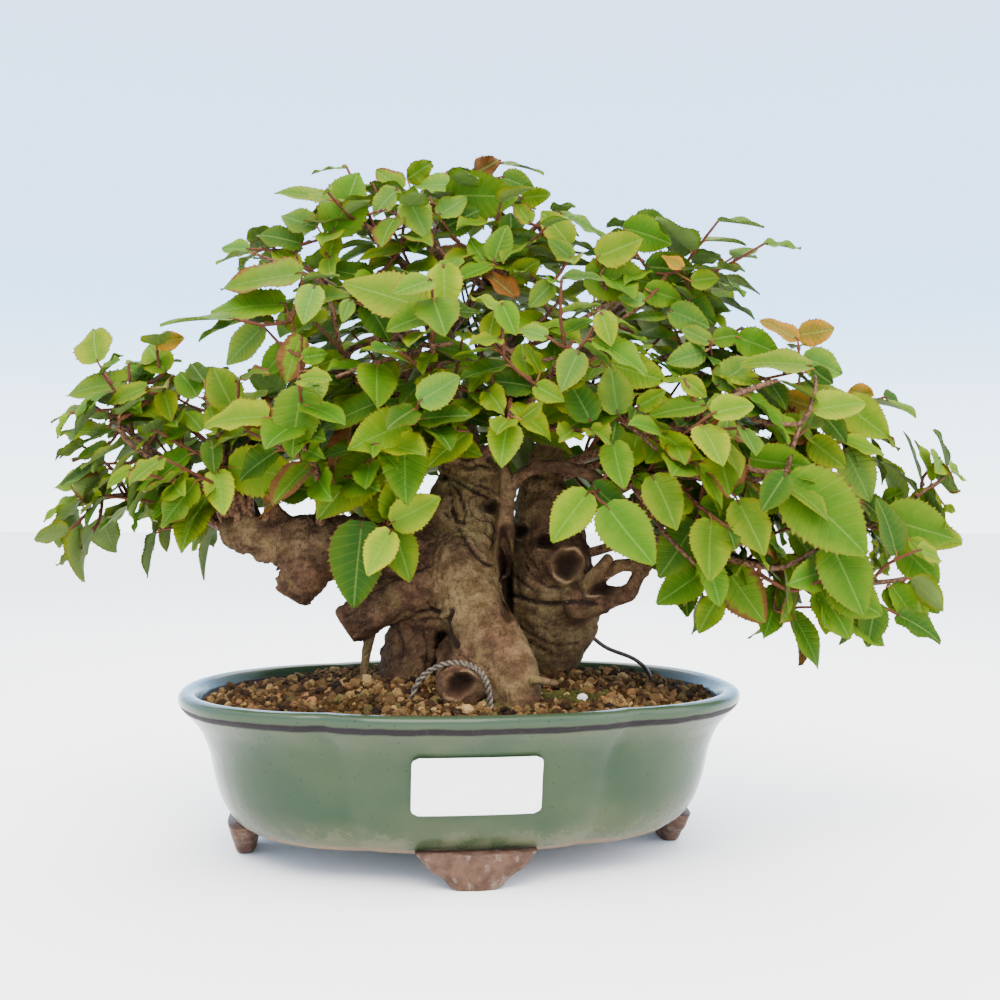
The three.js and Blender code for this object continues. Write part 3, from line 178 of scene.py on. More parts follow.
# Leafy branches, as in the part's source: a seed, the stem's points as x, z and depth, and leaves. A listed
# leaf is the x and z of its foot and of its tip as seen, its depth, how much further away its tip lies, the
# blade's roll in degrees, and its tone. The first leaves are in the part's solids too, and the second are
# only here.
SPRAYS = {
    "spray_left_low": branch(3, (
        (-87, 129, -9), (-98, 140, -12), (-113, 150, -12), (-128, 160, -10), (-140, 170, -8),
        (-152, 178, -6),
    ), (
        (-138, 188, -164, 185, -10, 4, 35, "r"), (-129, 186, -147, 180, -16, -6, 30, "y"),
        (-122, 175, -146, 173, -14, 2, 45, "d"), (-147, 167, -166, 169, -8, 4, 40, "e"),
    ), (
        (-150, 196, -154, 211, -8, 14, 0, "e"), (-128, 189, -141, 195, -4, 8, 20, "g"),
        (-122, 192, -131, 204, -8, 8, 10, "y"), (-126, 204, -114, 206, -10, 6, 40, "o"),
        (-123, 184, -119, 173, -22, -6, 0, "y"), (-146, 161, -159, 158, -6, 4, 35, "g"),
    )),
    "spray_left_back": branch(5, ((-78, 129, -4), (-92, 148, 14), (-106, 164, 32), (-122, 176, 44))),
    "spray_left_tip": branch(7, (
        (-95, 127, -7), (-110, 134, -2), (-126, 139, 6), (-142, 141, 12), (-158, 137, 16),
    ), (
        (-146, 149, -168, 148, 12, 4, 30, "p"), (-157, 141, -176, 130, 14, -4, 50, "y"),
        (-129, 154, -121, 133, 2, -6, 10, "d"),
    ), (
        (-142, 147, -153, 140, 8, 6, 40, "y"), (-162, 140, -165, 128, 14, 6, 60, "g"),
        (-114, 131, -126, 131, -2, -10, 20, "e"),
    )),
    "spray_left_front": branch(11, (
        (-56, 128, -18), (-58, 144, -32), (-64, 160, -44), (-76, 172, -52),
    ), (
        (-66, 186, -71, 158, -56, -6, 0, "g"), (-66, 207, -75, 188, -46, 0, 10, "e"),
        (-82, 211, -98, 195, -36, 4, 15, "p"),
    ), (
        (-61, 193, -59, 178, -52, -4, 0, "p"), (-66, 198, -55, 200, -48, 4, 20, "g"),
        (-72, 203, -82, 190, -38, 0, 0, "g"),
    )),
    "spray_left_rear": branch(13, ((-30, 125, 4), (-42, 144, 32), (-56, 164, 54), (-72, 182, 68))),
    "spray_upper_left": branch(17, (
        (0, 166, 4), (-17, 179, -10), (-34, 187, -22), (-50, 192, -32), (-66, 199, -38),
    ), (
        (-66, 233, -101, 229, -44, 2, 35, "r"), (-73, 220, -104, 220, -48, 0, 30, "g"),
        (-94, 214, -124, 215, -56, 0, 60, "g"),
    ), (
        (-61, 228, -66, 213, -52, -6, 0, "p"),
    )),
    "spray_upper_left_back": branch(19, (
        (-4, 180, 12), (-25, 205, 28), (-48, 224, 38), (-70, 238, 42),
    )),
    "spray_top_left": branch(23, ((-9, 220, 4), (-24, 236, -8), (-38, 251, -16), (-50, 258, -20)), (
        (-54, 249, -41, 275, -26, 4, 10, "g"), (-66, 245, -85, 251, -24, 0, 20, "d"),
        (-24, 243, -44, 241, -30, 2, 40, "y"), (-37, 231, -59, 236, -28, 2, 30, "d"),
    ), (
        (-60, 252, -76, 257, -20, 4, 10, "p"), (-88, 243, -100, 243, -22, 2, 10, "p"),
        (-55, 239, -53, 251, -28, 4, 0, "y"), (-23, 264, -14, 249, -32, -6, 0, "p"),
        (-27, 268, -38, 258, -28, -4, 10, "p"), (-68, 235, -78, 244, -28, 4, 20, "y"),
    )),
    "spray_top": branch(29, ((-14, 244, 2), (-8, 254, 14), (4, 262, 24), (14, 265, 32)), (
        (-7, 265, 23, 266, -10, 2, 35, "g"),
    ), (
        (-25, 268, -37, 276, -10, 4, 10, "e"), (-23, 272, -12, 279, -8, 4, 50, "y"),
        (-4, 270, -21, 270, -8, 2, 20, "p"), (4, 274, 16, 280, 0, 4, 40, "b"),
        (16, 273, 30, 268, 4, 2, 30, "p"), (24, 264, 37, 266, 0, 4, 60, "y"),
    )),
    "spray_top_right": branch(31, ((-7, 208, 6), (9, 228, 2), (24, 246, -4), (36, 258, -8)), (
        (44, 245, 33, 260, -22, 2, 0, "y"), (18, 237, 22, 259, -16, 4, 10, "d"),
        (-9, 251, 7, 260, -14, 2, 20, "d"), (22, 223, 9, 235, -30, 2, 30, "b"),
    ), (
        (28, 254, 21, 263, -20, 2, 0, "e"), (45, 239, 36, 248, -24, -2, 0, "p"),
        (13, 238, 17, 254, -26, 2, 0, "g"), (9, 238, 2, 248, -24, 4, 10, "g"),
        (-10, 257, 2, 265, -22, 4, 0, "p"), (20, 231, 32, 239, -20, 2, 30, "y"),
        (37, 229, 27, 220, -26, -4, 0, "p"),
    )),
    "spray_front": branch(37, ((0, 160, -2), (-4, 176, -26), (-10, 194, -44), (-15, 212, -52)), (
        (-8, 237, -6, 216, -62, -4, 0, "y"), (-16, 219, -50, 230, -56, 2, 20, "y"),
        (30, 186, 10, 191, -50, 2, 15, "d"), (-40, 222, -29, 206, -50, 0, 0, "d"),
    ), (
        (19, 172, 15, 155, -64, -10, 0, "y"), (24, 173, 34, 179, -60, 0, 50, "y"),
        (11, 195, 2, 185, -52, 0, 20, "y"), (20, 179, 7, 186, -48, 4, 10, "d"),
        (-32, 222, -25, 210, -44, 0, 10, "y"), (-46, 222, -50, 213, -50, 0, 0, "p"),
    )),
    "spray_front_right": branch(41, ((5, 152, -2), (20, 170, -22), (34, 188, -38), (45, 205, -48)), (
        (53, 172, 44, 190, -50, 4, 0, "d"),
    ), (
        (48, 201, 40, 186, -58, -6, 0, "p"), (30, 187, 41, 180, -56, -4, 10, "y"),
        (11, 206, 13, 219, -54, 4, 0, "y"), (35, 207, 23, 211, -56, 0, 10, "p"),
        (16, 221, 22, 208, -60, -2, 10, "g"), (32, 192, 27, 205, -52, 0, 40, "y"),
        (57, 217, 62, 204, -56, -4, 0, "y"),
    )),
    "spray_right_front": branch(43, ((40, 152, 8), (58, 160, -16), (78, 167, -32), (98, 170, -42)), (
        (64, 175, 61, 196, -44, 4, 0, "p"), (61, 196, 83, 188, -28, -4, 10, "y"),
        (100, 179, 76, 176, -50, 0, 40, "g"),
    ), (
        (82, 167, 98, 155, -52, -2, 60, "y"), (72, 178, 84, 185, -48, 0, 40, "y"),
        (108, 164, 109, 176, -50, 2, 0, "p"), (91, 190, 100, 182, -48, -2, 20, "y"),
    )),
    "spray_right_long": branch(47, (
        (44, 148, 16), (66, 158, 12), (94, 166, 6), (122, 170, 2), (147, 172, -2), (166, 168, -4),
    ), (
        (143, 165, 157, 153, -22, -4, 20, "y"), (156, 181, 175, 165, -12, -2, 15, "y"),
        (132, 182, 149, 176, -24, -2, 40, "o"), (140, 199, 157, 192, -14, 2, 20, "p"),
        (157, 161, 169, 140, -16, -4, 0, "p"),
    ), (
        (148, 176, 158, 164, -20, -4, 0, "d"), (159, 185, 170, 183, -12, 2, 30, "o"),
        (144, 194, 152, 187, -14, 0, 20, "d"), (138, 206, 123, 215, -10, 2, 30, "o"),
        (138, 208, 154, 210, -10, 2, 30, "o"),
    )),
    "spray_right_tip": branch(53, (
        (50, 134, 10), (85, 141, 18), (120, 137, 20), (150, 132, 18), (172, 132, 14), (186, 141, 12),
        (198, 149, 10),
    ), (
        (172, 133, 203, 124, -2, 2, 20, "g"), (182, 129, 207, 119, 0, 4, 50, "y"),
        (185, 143, 199, 130, 8, 0, 10, "y"), (180, 121, 197, 106, -4, 0, 30, "g"),
    ), (
        (173, 140, 182, 144, 6, 4, 0, "g"), (198, 138, 212, 129, 10, 2, 40, "y"),
        (199, 150, 214, 145, 12, 4, 40, "o"),
    )),
    "spray_right_low": branch(59, (
        (52, 128, 6), (80, 124, -8), (110, 117, -14), (138, 110, -18), (165, 106, -16), (182, 108, -12),
    ), (
        (98, 110, 81, 97, -24, -4, 5, "g"), (107, 113, 125, 90, -24, -6, 20, "e"),
        (146, 104, 161, 84, -30, -4, 0, "g"), (151, 123, 166, 93, -38, -6, 0, "g"),
        (170, 98, 166, 80, -28, -2, 0, "d"), (185, 108, 196, 93, -8, 0, 40, "g"),
    ), (
        (105, 100, 97, 86, -26, -4, 5, "y"), (132, 117, 142, 104, -28, -4, 0, "e"),
        (149, 95, 149, 85, -26, -2, 0, "y"), (98, 113, 102, 103, -22, -2, 0, "g"),
        (174, 104, 181, 93, -12, -2, 0, "g"), (183, 101, 191, 88, -10, -2, 0, "y"),
    )),
    "spray_right_back": branch(61, ((40, 150, 24), (60, 160, 46), (86, 170, 62), (112, 178, 72))),
    "spray_upper_right": branch(67, ((44, 178, 20), (64, 190, 8), (88, 200, -2), (112, 206, -8)), (
        (89, 225, 103, 211, -6, -2, 20, "d"), (85, 218, 102, 212, -14, -2, 30, "p"),
        (113, 207, 131, 201, -12, 0, 30, "g"), (104, 187, 121, 198, -22, 0, 0, "p"),
        (144, 195, 115, 200, -20, 2, 40, "y"),
    ), (
        (102, 205, 90, 211, -18, 0, 10, "p"), (103, 206, 115, 209, -14, 2, 20, "g"),
        (100, 201, 84, 197, -20, 0, 0, "p"),
    )),
    "spray_top_right_low": branch(71, ((62, 218, 26), (76, 226, 10), (92, 232, 0), (104, 232, -6)), (
        (55, 240, 75, 247, -20, 2, 10, "y"), (50, 232, 78, 229, -16, 2, 15, "r"),
        (66, 252, 87, 247, -6, 4, 30, "g"), (75, 236, 96, 234, -6, 4, 40, "d"),
    ), (
        (70, 254, 87, 253, 0, 4, 20, "d"), (91, 235, 82, 241, -14, 2, 20, "o"),
        (94, 230, 106, 232, -14, 2, 20, "y"), (75, 222, 64, 223, -20, 0, 0, "p"),
        (75, 227, 90, 221, -16, 2, 30, "g"),
    )),
    "spray_top_right_back": branch(73, ((52, 196, 28), (66, 214, 46), (82, 226, 58), (98, 230, 66))),
    "spray_back": branch(79, ((3, 160, 18), (5, 184, 42), (8, 208, 60), (12, 232, 68))),
    "spray_left_mid": branch(89, (
        (-84, 129, -10), (-91, 140, -15), (-97, 154, -18), (-100, 168, -20), (-106, 182, -20),
    ), (
        (-94, 177, -104, 195, -26, 6, 0, "y"), (-96, 153, -66, 149, -24, -4, 25, "y"),
        (-100, 152, -100, 134, -30, -6, 0, "w"),
    ), (
        (-100, 168, -105, 179, -28, 4, 0, "y"), (-98, 170, -87, 168, -28, -2, 10, "y"),
        (-103, 164, -102, 151, -24, -6, 10, "d"), (-109, 182, -116, 194, -20, 8, 0, "g"),
        (-106, 188, -112, 197, -16, 8, 20, "d"), (-111, 169, -125, 165, -24, 0, 40, "g"),
        (-107, 168, -113, 177, -22, 4, 10, "g"),
    )),
    "spray_front_left": branch(97, ((-5, 160, -4), (-17, 164, -24), (-32, 166, -38), (-46, 172, -44)), (
        (-34, 161, -59, 132, -28, -6, 5, "e"), (-45, 170, -57, 148, -46, 2, 50, "b"),
        (-23, 167, -25, 139, -48, -8, 0, "g"), (-34, 180, -59, 171, -42, 4, 30, "d"),
        (-19, 173, -39, 173, -50, -2, 35, "g"), (-18, 180, 0, 190, -56, 4, 10, "p"),
        (3, 168, -15, 155, -54, -2, 20, "y"),
    ), (
        (2, 175, -14, 169, -50, 0, 15, "d"),
    )),
    "spray_cluster": branch(101, ((-33, 121, -8), (-32, 126, -26), (-31, 129, -34)), (
        (-29, 130, -9, 140, -40, -2, 15, "w"), (-29, 127, -40, 110, -46, -6, 0, "w"),
        (-41, 131, -45, 96, -36, -6, 5, "d"), (-28, 127, -20, 107, -40, -4, 0, "r"),
    ), (
        (-32, 131, -39, 145, -38, 4, 0, "y"),
    )),
    "spray_arc": branch(103, ((64, 144, -30), (81, 151, -36), (106, 148, -38), (132, 149, -36)), (
        (62, 164, 65, 145, -52, -6, 0, "g"), (53, 146, 68, 134, -44, -4, 0, "d"),
        (52, 143, 36, 124, -46, -4, 5, "y"), (59, 138, 77, 113, -56, -8, 0, "g"),
        (78, 150, 90, 129, -54, -6, 0, "r"), (113, 140, 125, 118, -50, -6, 0, "e"),
        (99, 117, 100, 135, -36, 4, 10, "d"), (96, 131, 82, 108, -34, -4, 5, "d"),
        (133, 151, 123, 136, -44, -2, 0, "d"), (133, 149, 168, 119, -44, -6, 5, "g"),
        (118, 157, 144, 153, -44, -2, 40, "g"),
    ), (
        (111, 142, 112, 155, -40, 4, 0, "d"),
    )),
}

# Bare twigs between the leaves: radius at the foot and at the tip, and x, z and depth as seen
BARE_TWIGS = (
    (2.1, 1.4, (
        (-17, 206, -22), (-25, 207, -24), (-34, 206, -25), (-41, 204, -27), (-47, 200, -28),
        (-48, 192, -30),
    )),
    (2.4, 1.1, ((-17, 179, -16), (-23, 182, -20), (-34, 185, -25), (-43, 188, -30), (-50, 190, -34))),
    (1.5, 0.8, ((-48, 192, -30), (-50, 200, -30), (-51, 206, -30), (-53, 214, -30))),
    (1.3, 0.7, ((-48, 192, -30), (-45, 186, -32), (-50, 185, -34))),
    (2.8, 2.3, ((-3, 168, -4), (-11, 175, -9), (-19, 180, -14))),
    (1.6, 0.6, (
        (7, 229, -12), (1, 233, -15), (-5, 238, -18), (-13, 246, -21), (-19, 252, -25), (-25, 256, -28),
        (-32, 259, -31), (-39, 257, -34),
    )),
    (1.1, 0.6, ((-56, 227, -26), (-64, 232, -27), (-73, 236, -29), (-86, 241, -30))),
    (2.6, 0.9, (
        (-89, 125, -8), (-97, 134, -10), (-105, 140, -12), (-114, 146, -14), (-122, 152, -16),
        (-130, 158, -18), (-136, 162, -20), (-140, 168, -22),
    )),
    (1, 0.6, ((-136, 162, -20), (-139, 165, -21), (-141, 169, -23), (-141, 173, -24))),
    (0.8, 0.5, ((-129, 180, -16), (-140, 177, -17), (-150, 176, -19), (-160, 175, -20))),
    (1.9, 0.6, (
        (-97, 128, -4), (-105, 135, -3), (-112, 140, -1), (-119, 148, 0), (-126, 153, 2), (-134, 150, 3),
        (-142, 148, 5), (-155, 141, 6),
    )),
    (1.1, 0.6, ((-122, 152, -14), (-128, 155, -16), (-133, 152, -18), (-137, 148, -20))),
    (1.9, 0.8, ((-91, 127, -14), (-93, 138, -16), (-94, 146, -18), (-93, 153, -20), (-95, 159, -22))),
    (1.8, 0.9, ((-86, 129, -12), (-87, 140, -14), (-84, 147, -16), (-86, 155, -18))),
    (1.7, 1, ((-82, 127, -14), (-80, 136, -17), (-82, 143, -20))),
    (1.5, 0.7, ((-98, 131, -8), (-101, 140, -11), (-99, 149, -13), (-102, 156, -16))),
    (0.9, 0.5, ((-94, 146, -18), (-98, 152, -21), (-102, 155, -24))),
    (1.8, 1, (
        (86, 165, -16), (94, 163, -26), (102, 161, -34), (108, 158, -38), (120, 152, -40),
        (134, 151.5, -41),
    )),
    (1.1, 0.7, ((93, 164, -26), (99, 171, -34), (104, 178, -38))),
    (1.3, 0.8, ((79, 134, -24), (82, 128, -36), (88, 121, -42), (98, 111.6, -44))),
    (1.8, 1, (
        (81, 167, -20), (90, 172, -32), (97, 175.6, -38), (106, 180, -40), (120, 186, -38),
        (129, 189, -36),
    )),
    (1.3, 0.7, (
        (112, 184, -30), (118, 177, -36), (120, 173, -38), (133, 171, -38), (140.7, 173, -38),
        (145, 185, -34), (145, 191, -30),
    )),
    (1.1, 0.7, ((133, 152, -36), (135.3, 159.6, -38), (138, 168.5, -38), (141.5, 176, -36))),
    (1.7, 0.9, (
        (100, 119, -20), (108.6, 116, -30), (120, 113.3, -34), (132, 112.4, -36), (146, 120.4, -36),
    )),
    (0.9, 0.6, (
        (122, 110, -30), (128, 106, -36), (135.3, 102.7, -38), (143.3, 105.3, -38), (155, 110, -34),
    )),
    (1.5, 1.1, ((98, 116, -28), (106, 119.5, -36), (117, 123, -40))),
    (1, 0.7, ((60, 176, -28), (66, 172, -40), (74, 166, -46), (80, 160, -48))),
    (1.2, 0.7, ((14, 205, -30), (20, 200, -42), (28, 197, -48), (38, 198, -50))),
    (1.1, 0.7, ((-24, 200, -36), (-32, 197, -46), (-42, 194, -50), (-52, 190, -52))),
    (1.3, 0.8, ((-30, 214, -34), (-24, 206, -44), (-14, 203, -48), (-4, 204, -50))),
    (0.7, 0.5, ((128, 95, -20), (138, 96, -20), (147, 96, -20))),
    (1.1, 0.5, (
        (166, 129, -6), (175, 134, -7), (185, 140, -8), (191, 145, -10), (196, 148, -11), (200, 151, -12),
    )),
    (0.8, 0.5, ((166, 129, -6), (173, 128, -9), (182, 125, -12))),
    (0.8, 0.5, ((93, 218, -10), (93, 226, -10), (91, 234, -10))),
    (2.2, 1.7, ((73, 172, -6), (81, 170, -11), (89, 166, -16))),
    (1.2, 0.6, ((40, 209, -16), (35, 218, -19), (32, 225, -21), (28, 232, -24))),
    (1, 0.6, ((61, 222, -14), (57, 229, -16), (58, 237, -18))),
    (1.5, 0.8, ((18, 203, -18), (24, 209, -21), (33, 214, -23), (40, 222, -26))),
    (1, 0.6, ((-25, 209, -24), (-26, 218, -26), (-24, 225, -28))),
    (1, 0.6, ((110, 148, -24), (120, 143, -25), (130, 140, -25), (141, 142, -26))),
    (0.9, 0.5, ((102, 138, -26), (110, 131, -28), (116, 123, -30))),
    (0.8, 0.5, ((141, 142, -22), (151, 145, -20), (160, 146, -18))),
    (0.8, 0.5, ((139, 152, -16), (147, 159, -17), (154, 164, -18))),
    (1.2, 0.7, ((-15, 152, -22), (-22, 155, -25), (-29, 157, -28))),
    (0.9, 0.5, ((-112, 140, -2), (-115, 135, -3), (-116, 129, -5), (-124, 127, -6))),
)

# How branches grow, as in the part's source
GAP = 0.35  # clearance between pieces that touch
STEM_RADIUS = (2.1, 0.9)  # at the trunk and at the tip
SHOOT_RADIUS = 0.75
SHOOT_FIRST = 18  # from the foot of the stem
SHOOT_SPACING = 22
FRONT_SHOOT_SPACING = 52  # on branches that have leaves placed by eye
SHOOT_LENGTH = (24, 42)
END_FREE = 4  # length at the stem's tip without a shoot
TWIG_GAP = 9  # a leaf further from its wood than this gets a twig
TWIG_SAG = 0.08
TRIED_SHIFTS = (0, -4, 4, -8, 8, -12, 12)  # depths at which a placed leaf is tried
TRIES = 7
STALK_RADIUS = 0.45
STALK_SHARE = 0.14  # of the leaf's length
ROOT_DEPTH = 0.2
LEAF_SPACING = 16
LEAF_LENGTH = (19, 33)
LEAF_SHAPE = 0.33  # half width of a leaf as a share of its length
CROWN_MIDDLE = (14, 18, 148)
CROWN_HALF = (195, 115, 118)
# Balls that keep pieces apart: distance between them, margin round wood and bark, radius in a leaf, and how
# near the ones of the same branch may come
BALL_STEP = 3
WOOD_MARGIN = 1.2
BARK_MARGIN = 2.2
LEAF_BALL = 2.4
OWN_WOOD_SHARE = 0.4
OWN_LEAF_SHARE = 0.85
MOST_BALLS = 60000
FARTHEST_TOUCH = 32
LOWEST_LEAF = RIM_HEIGHT + 8


def add(a, b):
    return (a[0] + b[0], a[1] + b[1], a[2] + b[2])


def sub(a, b):
    return (a[0] - b[0], a[1] - b[1], a[2] - b[2])


def scale(a, s):
    return (a[0] * s, a[1] * s, a[2] * s)


def dot(a, b):
    return a[0] * b[0] + a[1] * b[1] + a[2] * b[2]


def cross(a, b):
    return (a[1] * b[2] - a[2] * b[1], a[2] * b[0] - a[0] * b[2], a[0] * b[1] - a[1] * b[0])


def size(a):
    return math.sqrt(dot(a, a))


def unit(a):
    return scale(a, 1 / size(a))


def mix(a, b, t):
    return a + (b - a) * t


def along(a, b, t):
    return add(a, scale(sub(b, a), t))


def square(a, n):
    """The part of a that is square to n."""
    return unit(sub(a, scale(n, dot(a, n))))


def seen(x, z, depth):
    """A point described as seen from the front, in the pot's own axes."""
    nearer = (EYE_DISTANCE + depth) / EYE_DISTANCE
    right = (x - EYE_OFFSET) * nearer + EYE_OFFSET
    return (
        right * math.cos(EYE_TURN) + depth * math.sin(EYE_TURN),
        -right * math.sin(EYE_TURN) + depth * math.cos(EYE_TURN),
        EYE_HEIGHT + (z - EYE_HEIGHT) * nearer,
    )


def seen_way(x, z, depth):
    """A direction as seen from the front, in the pot's own axes."""
    return (
        x * math.cos(EYE_TURN) + depth * math.sin(EYE_TURN),
        -x * math.sin(EYE_TURN) + depth * math.cos(EYE_TURN),
        z,
    )


def smooth_path(points, steps):
    """A smooth curve through the points, with some steps between each two."""
    path = []
    for i in range(len(points) - 1):
        before = points[max(i - 1, 0)]
        start = points[i]
        end = points[i + 1]
        after = points[min(i + 2, len(points) - 1)]
        for k in range(steps):
            t = k / steps
            point = []
            for j, value in enumerate(start):
                pull = end[j] - before[j]
                push = 2 * before[j] - 5 * value + 4 * end[j] - after[j]
                bend = 3 * value - before[j] - 3 * end[j] + after[j]
                point.append(value + 0.5 * (pull * t + push * t * t + bend * t * t * t))
            path.append(tuple(point))
    path.append(tuple(points[-1]))
    return path


def placed(path, steps):
    """A described limb in the pot's axes: each point is x, y, z and radius."""
    return smooth_path([(*seen(x, z, depth), radius) for x, z, depth, radius in path], steps)


def path_balls(path, margin):
    balls = []
    for i in range(len(path) - 1):
        count = math.ceil(size(sub(path[i + 1], path[i])) / BALL_STEP)
        for k in range(count):
            t = k / count
            radius = mix(path[i][3], path[i + 1][3], t) + margin
            balls.append((*along(path[i], path[i + 1], t), radius))
    return balls


class Taken:
    """Everything that later pieces have to stay clear of, as small balls."""

    def __init__(self):
        self.balls = np.zeros((MOST_BALLS, 4))
        self.owner = np.zeros(MOST_BALLS, int)
        self.wood = np.zeros(MOST_BALLS, bool)
        self.count = 0
        self.names = {}

    def code(self, owner):
        return self.names.setdefault(owner, len(self.names))

    def take(self, balls, owner, wood):
        end = self.count + len(balls)
        if balls:
            self.balls[self.count:end] = balls
            self.owner[self.count:end] = self.code(owner)
            self.wood[self.count:end] = wood
        self.count = end

    def is_clear(self, balls, owner, wood, ease=1.0):
        new = np.array(balls)
        if len(new) == 0:
            return True
        if (new[:, 2] <= LOWEST_LEAF).any():
            return False
        low = new[:, :3].min(0) - FARTHEST_TOUCH
        high = new[:, :3].max(0) + FARTHEST_TOUCH
        all_balls = self.balls[:self.count]
        near = ((all_balls[:, :3] > low) & (all_balls[:, :3] < high)).all(1)
        other = all_balls[near]
        if len(other) == 0:
            return True
        either_wood = self.wood[:self.count][near] | wood
        own = self.owner[:self.count][near] == self.code(owner)
        share = np.where(own, np.where(either_wood, OWN_WOOD_SHARE, OWN_LEAF_SHARE), 1.0) * ease
        reach = (new[:, None, 3] + other[None, :, 3]) * share
        gap = new[:, None, :3] - other[None, :, :3]
        distance = gap[..., 0] ** 2 + gap[..., 1] ** 2 + gap[..., 2] ** 2
        return bool((distance > reach * reach).all())


def leaf_width(t):
    """Width of a blade along it, as a share of the greatest."""
    return math.pow(math.sin(math.pi * math.pow(t, 0.72)), 0.8)


def leaf_point(leaf, t, w):
    """A point of the blade: t from foot to tip, and w from -1 to 1 across."""
    arch = -leaf["arch"] * leaf["length"] * t * t
    half = leaf["length"] * LEAF_SHAPE * leaf_width(min(max(t, 0.02), 0.98))
    fold = leaf["fold"] * abs(w) * half
    point = add(leaf["foot"], scale(leaf["way"], t * leaf["length"]))
    point = add(point, scale(leaf["side"], w * half))
    return add(point, scale(leaf["face"], arch + fold))


def leaf_balls(leaf, radius=LEAF_BALL):
    return [
        (*leaf_point(leaf, t, w), radius)
        for t in (0.08, 0.29, 0.5, 0.71, 0.92)
        for w in (-0.75, 0, 0.75)
    ]


def describe_leaf(stalk, foot, way, face, length, arch, fold, tone):
    face = square(face, way)
    return {
        "stalk": stalk, "foot": foot, "way": way, "face": face, "side": cross(way, face),
        "length": length, "arch": arch, "fold": fold, "tone": tone,
    }


def outward(point):
    """The way out of the crown, which is shaped like an egg."""
    out = sub(point, CROWN_MIDDLE)
    return unit(tuple(value / CROWN_HALF[j] ** 2 for j, value in enumerate(out)))


TRUNK_PATHS = [placed(path, 3) for path in LIMBS.values()]


def on_bark(near, toward):
    """The middle of the nearest limb, and the point on its bark where a stem leaves it."""
    best = None
    for path in TRUNK_PATHS:
        for point in path:
            gap = size(sub(near, point))
            if best is None or gap < best[0]:
                best = (gap, point)
    point = best[1]
    way = unit(sub(toward, point))
    return point[:3], add(point, scale(way, point[3] + GAP))


def grow_stem(spray):
    points = [seen(x, z, depth) for x, z, depth in spray["stem"]]
    inside, outside = on_bark(points[0], points[1])
    spray["inside"] = (*inside, STEM_RADIUS[0])
    points[0] = outside
    return smooth_path(tapered(points, *STEM_RADIUS), 2)


def tapered(points, start, end):
    """The points with a radius that goes from start to end."""
    last = len(points) - 1
    return [(*point, mix(start, end, i / last)) for i, point in enumerate(points)]


def nearest_on(paths, place):
    best = None
    for path in paths:
        for i in range(len(path) - 1):
            for t in (0, 0.25, 0.5, 0.75):
                point = along(path[i], path[i + 1], t)
                gap = size(sub(place, point))
                if best is None or gap < best[0]:
                    best = (gap, point)
    return best[1]


def place_leaf(taken, spray, row, ease=1.0, radius=LEAF_BALL):
    """A listed leaf hangs on the nearest wood of its branch, or on a twig where that is far."""
    foot_x, foot_z, tip_x, tip_z, depth, lean, roll, tone = row
    for shift in TRIED_SHIFTS:
        foot = seen(foot_x, foot_z, depth + shift)
        tip = seen(tip_x, tip_z, depth + shift + lean)
        way = unit(sub(tip, foot))
        to_eye = square(seen_way(0, 0.25, -1), way)
        angle = (roll * math.pi) / 180
        face = add(scale(to_eye, math.cos(angle)), scale(cross(way, to_eye), math.sin(angle)))
        length = size(sub(tip, foot))
        near = nearest_on([spray["path"][1:], *spray["twigs"]], foot)
        gap = size(sub(foot, near))
        needs_twig = gap > TWIG_GAP
        middle = add(along(near, foot, 0.5), seen_way(0, -TWIG_SAG * gap, 0))
        twig = [(*near, SHOOT_RADIUS), (*middle, SHOOT_RADIUS * 0.9), (*foot, SHOOT_RADIUS * 0.8)]
        bars = twig if needs_twig else [(*near, STALK_RADIUS), (*foot, STALK_RADIUS)]
        leaf = describe_leaf(bars[:-1], foot, way, face, length, 0.1, 0.12, tone)
        wood = path_balls(bars, WOOD_MARGIN)[1:]
        balls = leaf_balls(leaf, radius)
        name = spray["name"]
        if taken.is_clear(balls, name, False, ease) and taken.is_clear(wood, name, True, ease):
            taken.take(balls, name, False)
            taken.take(wood, name, True)
            if needs_twig:
                spray["twigs"].append([twig[0], twig[1], (*along(twig[1], twig[2], 0.6), twig[2][3])])
            spray["grown"].append(leaf)
            return


def walk(path, distance):
    """The point at a distance along a path, and the path's direction there."""
    left = distance
    for i in range(len(path) - 1):
        step = size(sub(path[i + 1], path[i]))
        if left <= step:
            return along(path[i], path[i + 1], left / step), unit(sub(path[i + 1], path[i]))
        left -= step
    return path[-1][:3], unit(sub(path[-1], path[-2]))


def path_length(path):
    return sum(size(sub(path[i + 1], path[i])) for i in range(len(path) - 1))


